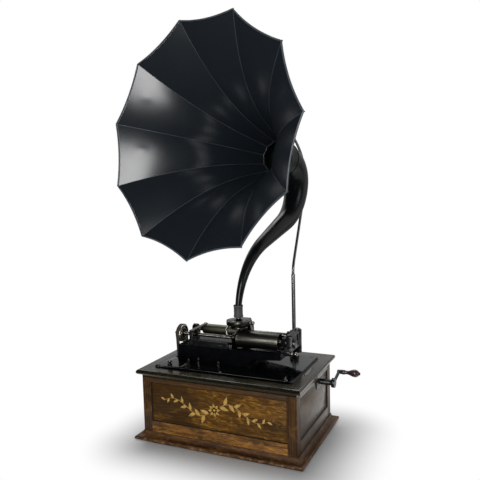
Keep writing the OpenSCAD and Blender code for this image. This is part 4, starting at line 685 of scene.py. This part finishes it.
# A ball is cut off level with the plate by a block, and slotted by a bar.
square = add(screws, "Math", {0: size["Radius"], 1: size["Radius"]}, operation="MULTIPLY")
ratio = add(screws, "Math", {0: square, 1: size["Dome"]}, operation="DIVIDE")
ball_r = add(screws, "Math", {0: ratio, 1: size["Dome"]}, operation="ADD")
ball_r = add(screws, "Math", {0: ball_r, 1: 0.5}, operation="MULTIPLY")
ball = add(screws, "MeshUVSphere", {0: 48, 1: 48, 2: ball_r})
sink = add(screws, "Math", {0: size["Dome"], 1: ball_r}, operation="SUBTRACT")
sink = add(screws, "CombineXYZ", {2: sink})
ball = add(screws, "Transform", {0: ball, "Translation": sink})
wide = add(screws, "Math", {0: size["Radius"], 1: 4.0}, operation="MULTIPLY")
deep = add(screws, "Math", {0: size["Dome"], 1: 2.0}, operation="MULTIPLY")
block = add(screws, "CombineXYZ", {0: wide, 1: wide, 2: deep})
block = add(screws, "MeshCube", {0: block})
raised = add(screws, "CombineXYZ", {2: size["Dome"]})
block = add(screws, "Transform", {0: block, "Translation": raised})
head = add(screws, "MeshBoolean", {1: [ball, block]}, operation="INTERSECT")
cut = add(screws, "CombineXYZ", {0: wide, 1: size["Slot"], 2: size["Dome"]})
cut = add(screws, "MeshCube", {0: cut})
cut = add(screws, "Transform", {0: cut, "Translation": raised})
head = add(screws, "MeshBoolean", {0: head, 1: cut}, operation="DIFFERENCE", solver="EXACT")
stop = {2: 0.0, 3: math.pi, "Seed": size["Seed"]}
stop = add(screws, "RandomValue", stop, data_type="FLOAT", out=1)
heads = strewn(screws, size["Geometry"], head, {2: stop})
ended(screws, heads, size["Material"])
bed_top, screw_xs, screw_ys = lid_top + 5, (-177, 0, 177), (-109, 95)
screw_spots = [(x * MM, y * MM, bed_top * MM) for x in screw_xs for y in screw_ys]
set_screws = grown(
    "bedplate_screws_slotted", screws, screw_spots, Radius=4.5 * MM, Dome=2 * MM, Slot=0.9 * MM, Seed=4,
    Material=nickel,
)
fitted(smoothed(set_screws, 30), "cabinet", "nickel", "bedplate_screws")

# Mandrel, shaft and pulley: a turned hollow drum of nickelled brass, browned with age, on a steel shaft with
# a fine feed screw, and a japanned iron pulley with two bright turned rings. All are fixed on the shaft.
shaft_y, shaft_z = -5, 256


def turned_rings(name, ground, shine, rings, rough):
    """Metal in rings round the shaft, each from one radius to another: bright where it was turned."""
    made = metal(name, ground, rough, 1.0, "#141414", 30, 0.4)
    t = made.node_tree
    where = add(t, "TexCoord", out="Object")
    axis = (0, shaft_y * MM, shaft_z * MM)
    flat = add(t, "VectorMath", {0: where, 1: axis}, operation="SUBTRACT")
    flat = add(t, "VectorMath", {0: flat, 1: (0, 1, 1)}, operation="MULTIPLY")
    radius = add(t, "VectorMath", {0: flat}, operation="LENGTH", out="Value")
    mask = 0.0
    for low, high in rings:
        middle, half = (low + high) / 2, (high - low) / 2
        ring = add(t, "Math", {0: radius, 1: middle * MM, 2: half * MM}, operation="COMPARE")
        mask = add(t, "Math", {0: ring, 1: mask}, operation="MAXIMUM")
    shader = t.nodes["Principled BSDF"]
    below = shader.inputs["Base Color"].links[0].from_socket
    tone = add(t, "Mix", {0: mask, 6: below, 7: linear(shine)}, data_type="RGBA", out=2)
    plugged(shader, {"Base Color": tone})
    return made


drum = metal("browned nickel, mandrel", "#4c4b45", 0.32, 1.0, "#413f39", 60, 0.5)
ring_radii = ((13.5, 16.2), (20.2, 24.5))
pulley_iron = turned_rings("pulley, iron with bright rings", "#3d3c38", "#c0baa6", ring_radii, 0.28)
thread = metal("steel feed screw", "#7a7871", 0.3, 1.0, "#2e2c28", 8, 0.6)
tree = thread.node_tree
# The real screw has a hundred threads to the inch; here they are drawn 1.2 mm apart, so that they show.
where = add(tree, "TexCoord", out="Object")
along = add(tree, "SeparateXYZ", {0: where})
thread_pitch = 1.2
turns = add(tree, "Math", {0: along, 1: 2 * math.pi / (thread_pitch * MM)}, operation="MULTIPLY")
turns = add(tree, "Math", {0: turns}, operation="SINE")
groove = add(tree, "Bump", {"Strength": 0.6, "Distance": 0.2 * MM, "Height": turns})
plugged(tree.nodes["Principled BSDF"], {"Normal": groove})
mounted("main_shaft", "mandrel", "nickel", thread, 0.3)
mounted("mandrel", "mandrel", "nickel", drum, 0.3)
mounted("mandrel_pulley", "mandrel", "japanned_iron", pulley_iron, 0.5)
hide = metal("oiled leather", "#1c1714", 0.62, 0.0, "#2f2620", 5, 0.7, 0.2)
mounted("drive_belt", "cabinet", "leather", hide, 0.3)

# Carriage: a sleeve that slides on a steel rod, a cast arm with a round eye for the reproducer, a spring arm
# with the half nut, and a bent bright fork with the lift lever. Nickelled, worn olive and nearly black.
olive = metal("olive nickel, carriage", "#6e6d5f", 0.34, 1.0, "#4e4d41", 40, 0.6)
dark_nickel = metal("dark nickel, reproducer", "#5c5b55", 0.26, 1.0, "#3a3832", 14, 0.6)
mounted("back_rod", "back_rod", "nickel", steel, 0.3)
mounted("carriage", "carriage", "japanned_iron", smoked, 0.6)
rod_y, rod_z, jacket_r, jacket_bore, jacket_round, jacket_left, jacket_right = 42, 262, 14, 10.6, 1.6, -125, 21
round_at = jacket_r - jacket_round
jacket_line = [(jacket_bore, jacket_left)]
jacket_line += [(r, x) for x, r in arc((jacket_left + jacket_round, round_at), jacket_round, 180, 90, 5)]
jacket_line += [(r, x) for x, r in arc((jacket_right - jacket_round, round_at), jacket_round, 90, 0, 5)]
jacket_line += [(jacket_bore, jacket_right)]


def lathed(name, line, axis, material, steps=64):
    """A turned piece: a closed line of (radius, along X) points, spun round an axis at the given Y and Z."""
    turns = [2 * math.pi * k / steps for k in range(steps)]
    rings = [[(x, axis[0] + r * math.cos(a), axis[1] + r * math.sin(a)) for r, x in line] for a in turns]
    return smoothed(hooped(name, rings, material), 35)


fitted(lathed("carriage_sleeve_jacket", jacket_line, (rod_y, rod_z), olive), "carriage", "japanned_iron")
mounted("feed_nut_arm", "carriage", "nickel", dark_nickel, 0.4)
mounted("carriage_fork", "carriage", "nickel", bright, 0.2)
mounted("reproducer", "carriage", "nickel", dark_nickel, 0.4)
mounted("reproducer_screw", "carriage", "nickel", bright, 0.3)
mounted("floating_weight", "weight", "nickel", dark_nickel, 0.3)
mounted("lift_lever", "lift_lever", "nickel", bright, 0.2)

# Gate and controls: a japanned iron gate on a steel pin that holds the shaft's right end, its sprung latch
# with a bright ball, a black start lever and a nickelled speed screw.
mounted("end_gate", "gate", "japanned_iron", dull_japan, 0.9)
mounted("gate_pin", "cabinet", "nickel", steel, 0.3)
mounted("gate_latch", "latch", "nickel", bright, 0.2)
mounted("start_lever", "start_lever", "japanned_iron", dull_japan, 0.2)
mounted("speed_screw", "speed_screw", "nickel", nickel, 0.3)

# Crank: a forged black shaft and arm, pushed in through an iron escutcheon on the panel, with a turned grip
# of polished mahogany that spins on a pin. The wood is nearly black, red where the light catches it.
grip_wood = oak("turned mahogany", "#221314", "#362122", "#40292a", 0.2, 0.6)
mounted("crank", "crank", "japanned_iron", dull_japan, 0.4)
mounted("crank_escutcheon", "cabinet", "japanned_iron", dull_japan, 0.4)
grip_low, grip_high = (Vector(corner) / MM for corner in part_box("crank_grip"))
grip_bore = 3.3
# How far along the grip, and its radius there: a bead, a slim neck and a full belly.
grip_turning = (
    (0, 6.3), (0.04, 6.4), (0.09, 5.8), (0.16, 5.0), (0.24, 4.8), (0.33, 5.3), (0.43, 6.8), (0.53, 8.5),
    (0.62, 9.7), (0.70, 10.2), (0.78, 10.0), (0.86, 8.9), (0.92, 7.3), (0.97, 5.3), (1, grip_bore + 0.3),
)
grip_line = [(grip_bore, grip_low.x)]
grip_line += [(r, grip_low.x + t * (grip_high.x - grip_low.x)) for t, r in grip_turning]
grip_line += [(grip_bore, grip_high.x)]
grip_axis = ((grip_low.y + grip_high.y) / 2, (grip_low.z + grip_high.z) / 2)
grip = lathed("crank_grip_finished", grip_line, grip_axis, grip_wood)
grained(grip.data, 0, 0.4)
fitted(grip, "grip", "mahogany", "crank_grip")

# Horn bell: eleven gores cut from sheet, bowed inwards and folded together along standing seams, with a wire
# in the rim. Black enamel, dulled by age, with a few shallow dents near the left rim.
enamel = metal("black horn enamel", "#14181c", 0.235, 0.0, "#181c20", 90, 0.12, 0.0, 0.56)
horn_eye_x, horn_y, horn_turn = 6.5, -5, -12.9
gores, throat_r, rim_r, bell_len, rim_bow, sheet, seam_h, seam_gap = 11, 47, 298, 350, 9, 1, 4, 0.12
bell_turn, bell_tilt, ferrule_len, wire_r, flare_line, flare_cube, swell_h = -3, 6, 33, 2.2, 0.42, 0.58, 0.10
neck_start, neck_heads, neck_bends, neck_run = 335, (84, 25, 90, 180 - bell_tilt), (212, 125, 74), 120
neck_r0, neck_r1, neck_wall, neck_taper = 8.5, 46, 1.5, 1.25


def neck_route(steps):
    """The neck's middle line as (back, up, length): a bend, a straight run and two more bends."""
    back, up, heading, length = 0.0, neck_start, neck_heads[0], 0.0
    line = [(back, up, length)]
    first, *others = zip(neck_bends, neck_heads[1:])
    for radius, target in (first, (None, None), *others):
        turn = (target - heading) / steps if target else 0.0
        reach = radius * 2 * math.sin(math.radians(abs(turn)) / 2) if radius else neck_run / steps
        for _ in range(steps):
            way = math.radians(heading + turn / 2)
            back, up = back + reach * math.cos(way), up + reach * math.sin(way)
            heading, length = heading + turn, length + reach
            line.append((back, up, length))
    return line


neck_line = neck_route(16)
in_horn = Matrix.Translation((horn_eye_x * MM, horn_y * MM, 0)) @ Matrix.Rotation(math.radians(horn_turn), 4, "Z")
neck_end = Matrix.Translation((0, neck_line[-1][0] * MM, neck_line[-1][1] * MM))
in_bell = in_horn @ neck_end @ Matrix.Rotation(math.radians(90 - bell_tilt), 4, "X")
in_gores = in_bell @ Matrix.Translation((0, 0, ferrule_len * MM))

bell, size = tree_for(
    "bell_gores", Gores="Int", Throat="Float", Rim="Float", Length="Float", Bow="Float", Fold="Float", Gap="Float",
    Sheet="Float", First="Float", Waviness="Float", Material="Material",
)
cols, rows = 24, 56
grid = add(bell, "MeshGrid", {0: 1.0, 1: 1.0, 2: cols + 1, 3: rows + 1})
at = add(bell, "SeparateXYZ", {0: add(bell, "InputPosition")}, out=None).outputs
number = add(bell, "InputIndex")
value = dict(size.items()) | {"u": at[0], "v": at[1], "number": number}
# Each value of the gore's shape: its name, and what it is worked out from.
for name, how, *terms in (
    ("t", "ADD", "v", 0.5),
    # The outermost column on each side is the fold; the rest is the gore's own width.
    ("s", "MULTIPLY", "u", cols / (cols - 2)),
    ("f", "ADD", "s", 0.5), ("f", "MAXIMUM", "f", 0.0), ("f", "MINIMUM", "f", 1.0),
    ("way", "SIGN", "s"), ("past", "ABSOLUTE", "s"),
    ("past", "SUBTRACT", "past", 0.5), ("past", "MAXIMUM", "past", 0.0),
    ("past", "MULTIPLY", "past", cols - 2), ("fold", "MULTIPLY", "past", "Fold"),
    # The flare: a straight share and a cubed one, from the throat to the rim.
    ("cube", "POWER", "t", 3.0), ("cube", "MULTIPLY", "cube", flare_cube),
    ("share", "MULTIPLY_ADD", "t", flare_line, "cube"),
    ("span", "SUBTRACT", "Rim", "Throat"), ("flare", "MULTIPLY_ADD", "share", "span", "Throat"),
    ("half", "DIVIDE", math.pi, "Gores"), ("cos", "COSINE", "half"), ("sin", "SINE", "half"),
    # The gore bows inwards between its seams.
    ("rest", "SUBTRACT", 1.0, "f"), ("sag", "MULTIPLY", "f", "rest"), ("sag", "MULTIPLY", "sag", 4.0),
    ("full", "DIVIDE", "flare", "Rim"), ("bow", "MULTIPLY", "Bow", "full"), ("bow", "MULTIPLY", "bow", "sag"),
    ("folded", "ADD", "flare", "fold"), ("x", "MULTIPLY", "folded", "cos"), ("x", "SUBTRACT", "x", "bow"),
    ("reach", "MULTIPLY", "flare", "sin"), ("reach", "SUBTRACT", "reach", "Gap"),
    ("width", "MULTIPLY_ADD", "f", 2.0, -1.0), ("y", "MULTIPLY", "reach", "width"),
    ("lean", "MULTIPLY", "fold", "sin"), ("y", "MULTIPLY_ADD", "lean", "way", "y"),
    ("z", "MULTIPLY", "t", "Length"),
    # Each gore is turned to the middle between its two seams.
    ("middle", "ADD", "number", 0.5), ("turn", "MULTIPLY", "half", 2.0),
    ("turn", "MULTIPLY_ADD", "middle", "turn", "First"),
):
    terms = {i: value.get(term, term) for i, term in enumerate(terms)}
    value[name] = add(bell, "Math", terms, operation=how)
spot = add(bell, "CombineXYZ", {i: value[axis] for i, axis in enumerate("xyz")})
gore = add(bell, "SetPosition", {0: grid, "Position": spot})
ring = add(bell, "MeshLine", {"Count": size["Gores"], "Offset": (0, 0, 0)}, mode="OFFSET")
skins = strewn(bell, ring, gore, {2: value["turn"]})
skins = add(bell, "RealizeInstances", {0: skins})
# Hand-bent sheet isn't quite even: swells of about 80 mm.
swell = add(bell, "TexNoise", {"Scale": 1 / (80 * MM), "Detail": 1.0})
swell = add(bell, "MapRange", {0: swell, 1: 0.25, 2: 0.75, 3: -1.0, 4: 1.0})
swell = add(bell, "Math", {0: swell, 1: size["Waviness"]}, operation="MULTIPLY")
radial = {0: add(bell, "InputPosition"), 1: (1, 1, 0)}
radial = add(bell, "VectorMath", radial, operation="MULTIPLY")
radial = add(bell, "VectorMath", {0: radial}, operation="NORMALIZE")
radial = add(bell, "VectorMath", {0: radial, "Scale": swell}, operation="SCALE")
skins = add(bell, "SetPosition", {0: skins, "Offset": radial})
outer = add(bell, "ExtrudeMesh", {0: skins, "Offset Scale": size["Sheet"], "Individual": False})
ended(bell, closed_by(bell, outer, skins), size["Material"])


def seam_point(k, f, t):
    """A point of gore k in the bell's frame, millimetres: f across the gore, t from throat to rim."""
    flare = throat_r + (rim_r - throat_r) * (flare_line * t + flare_cube * t**3)
    angles = [math.radians(bell_turn - 90 + 360 * (k + i) / gores) for i in (0, 1, 0.5)]
    a, b, mid = (Vector((math.cos(w), math.sin(w), 0)) for w in angles)
    flat = flare * (a + (b - a) * f) - mid * (4 * f * (1 - f) * rim_bow * flare / rim_r)
    return Vector((flat.x, flat.y, bell_len * t))


panels = grown(
    "horn_gores", bell, [(0, 0, 0)], Gores=gores, Throat=throat_r * MM, Rim=rim_r * MM, Length=bell_len * MM,
    Bow=rim_bow * MM, Fold=seam_h * MM, Gap=seam_gap * MM, Sheet=sheet * MM,
    First=math.radians(bell_turn - 90), Waviness=swell_h * MM, Material=enamel,
)
# Dents: the gore, how far across it and along it, how wide and how deep.
for k, f, along, width, depth in (
    (8, 0.42, 0.90, 13, 1.3), (8, 0.86, 0.97, 10, 1.2), (7, 0.40, 0.93, 15, 1.1), (7, 0.12, 0.96, 10, 0.9),
):
    spot = seam_point(k, f, along) * MM
    push = -Vector((spot.x, spot.y, 0)).normalized() * depth * MM
    for v in panels.data.vertices:
        off = (v.co - spot).length / (width * MM)
        if off < 3:
            v.co += push * math.exp(-off * off * 2)
panels.data.transform(in_gores)
fitted(smoothed(panels, 40), "horn", "horn_enamel", "horn_panels")

# Seams and rim: the folded edges show inside the bell as thin beads, and a wire stiffens the rim. Enamelled with
# the gores, but a lighter grey, partly rubbed enamel and partly a painted highlight along their crests.
worn_and_highlit_enamel = metal("seam enamel, worn, with painted highlight", "#3a4045", 0.30, 0.0, "#1d2124", 60, 0.8)
sweep, size = tree_for("swept_round", Sides="Int", Caps="Bool", Material="Material")
line = add(sweep, "MeshToCurve", {0: size["Geometry"]})
round_wire = add(sweep, "CurvePrimitiveCircle", {0: size["Sides"], 4: 1.0})
thin = add(sweep, "InputNamedAttribute", {0: "thick"}, data_type="FLOAT")
tube = {0: line, 1: round_wire, "Scale": thin, "Fill Caps": size["Caps"]}
tube = add(sweep, "CurveToMesh", tube)
ended(sweep, tube, size["Material"])

seam_r, seam_steps, throat_steps, rim_steps = 0.75, 40, 8, 20
seam_from, seam_run, throat_at = 0.01, 0.985, 0.012
seam_shares = [seam_from + seam_run * i / seam_steps for i in range(seam_steps + 1)]
lines = [[seam_point(k, 0.0, t) for t in seam_shares] for k in range(gores)]
# One more bead covers the ends of the gores round the throat.
lines.append([seam_point(k, i / throat_steps, throat_at) for k in range(gores) for i in range(throat_steps)])
seam_points, seam_edges = [], []
for line in lines:
    start = len(seam_points)
    seam_edges += [(start + a, start + b) for a, b in chain(len(line), line is lines[-1])]
    seam_points += [point * MM for point in line]
seams = grown(
    "horn_seam_beads", sweep, seam_points, seam_edges, [seam_r * MM] * len(seam_points), Sides=10, Caps=True,
    Material=worn_and_highlit_enamel,
)
seams.data.transform(in_gores)
fitted(smoothed(seams, 50), "horn", "horn_enamel", "horn_panels")
rim_lift = Vector((0, 0, wire_r + 0.1))
rim_points = []
for i in range(gores * rim_steps):
    at = seam_point(i // rim_steps, (i % rim_steps) / rim_steps, 1.0)
    out = Vector((at.x, at.y, 0)).normalized() * sheet
    rim_points.append((at + out + rim_lift) * MM)
rim = grown(
    "horn_rim_wire", sweep, rim_points, chain(len(rim_points), True), [wire_r * MM] * len(rim_points), Sides=16,
    Caps=False, Material=worn_and_highlit_enamel,
)
rim.data.transform(in_gores)
fitted(smoothed(rim, 60), "horn", "horn_enamel", "horn_rim")

# Swan neck: a tapering tube rolled from sheet and bent, soldered in a ferrule behind the bell, with the ring
# that hangs from the crane. The same black enamel, brighter than inside the bell.
gloss = metal("black neck enamel", "#0b0d0e", 0.20, 0.0, "#101314", 60, 0.5, 0.0, 0.2)
neck_length = neck_line[-1][2]
neck = grown(
    "horn_swan_neck", sweep, [(0, b * MM, u * MM) for b, u, _ in neck_line], chain(len(neck_line)),
    [(neck_r0 + (neck_r1 - neck_r0) * (n / neck_length) ** neck_taper) * MM for _, _, n in neck_line], Sides=48,
    Caps=False, Material=gloss,
)
wall = neck.modifiers.new("wall", "SOLIDIFY")
wall.thickness = neck_wall * MM
wall.offset = -1
baked(neck)
neck.data.transform(in_horn)
fitted(smoothed(neck, 50), "horn", "horn_enamel", "horn_neck")
mounted("horn_ferrule", "horn", "horn_enamel", gloss, 0.2)
mounted("horn_eye", "horn", "steel", steel, 0)
rubber = metal("moulded rubber", "#2c2d2f", 0.55, 0.0, "#3b3b3c", 6, 0.7, 0.1)
mounted("rubber_connector", "connector", "rubber", rubber, 0.7)

# Crane: a japanned bracket and socket screwed to the cabinet's back, a bright post clamped in it, and a
# bent black rod with a wire link for the horn's ring.
post_steel = metal("grey steel, crane", "#6f6f72", 0.30, 1.0, "#58585a", 60, 0.5)
mounted("crane_bracket", "cabinet", "japanned_iron", dull_japan, 0.6)
mounted("crane_socket", "cabinet", "japanned_iron", dull_japan, 0.4)
mounted("crane_collar", "cabinet", "japanned_iron", dull_japan, 0.5)
mounted("crane_post", "cabinet", "nickel", post_steel, 0.2)
mounted("crane_rod", "cabinet", "japanned_iron", post_steel, 0, sharp=60)
mounted("crane_link", "cabinet", "steel", steel, 0)

# Motor: japanned plates, steel pillars, brass wheels and a governor, hung under the bedplate inside the
# cabinet, where hardly anything shows. Their shapes are left as the CAD has them.
for node, material in (
    ("motor_plates", dull_japan), ("motor_pillars", steel), ("motor_hangers", steel), ("winding_pinion", steel),
    ("winding_gear", brass), ("spring_barrel", brass), ("intermediate_wheel", brass), ("pulley_shaft", brass),
    ("drive_pulley", dull_japan), ("governor_spindle", steel), ("governor_weights", brass),
):
    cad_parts[node].data.materials.clear()
    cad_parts[node].data.materials.append(material)

# Shade. The lid, bedplate and casting, flat and polished, would throw the front lamp back as plain white in
# the views from behind, so a flag keeps that lamp off them as well as off the paper.
for flat in ("lid_frame_oak", "bedplate_finished", "body_casting_finished"):
    shaded.objects.link(bpy.data.objects[flat])
for entry in shaded.collection_objects:
    entry.light_linking.link_state = "EXCLUDE"
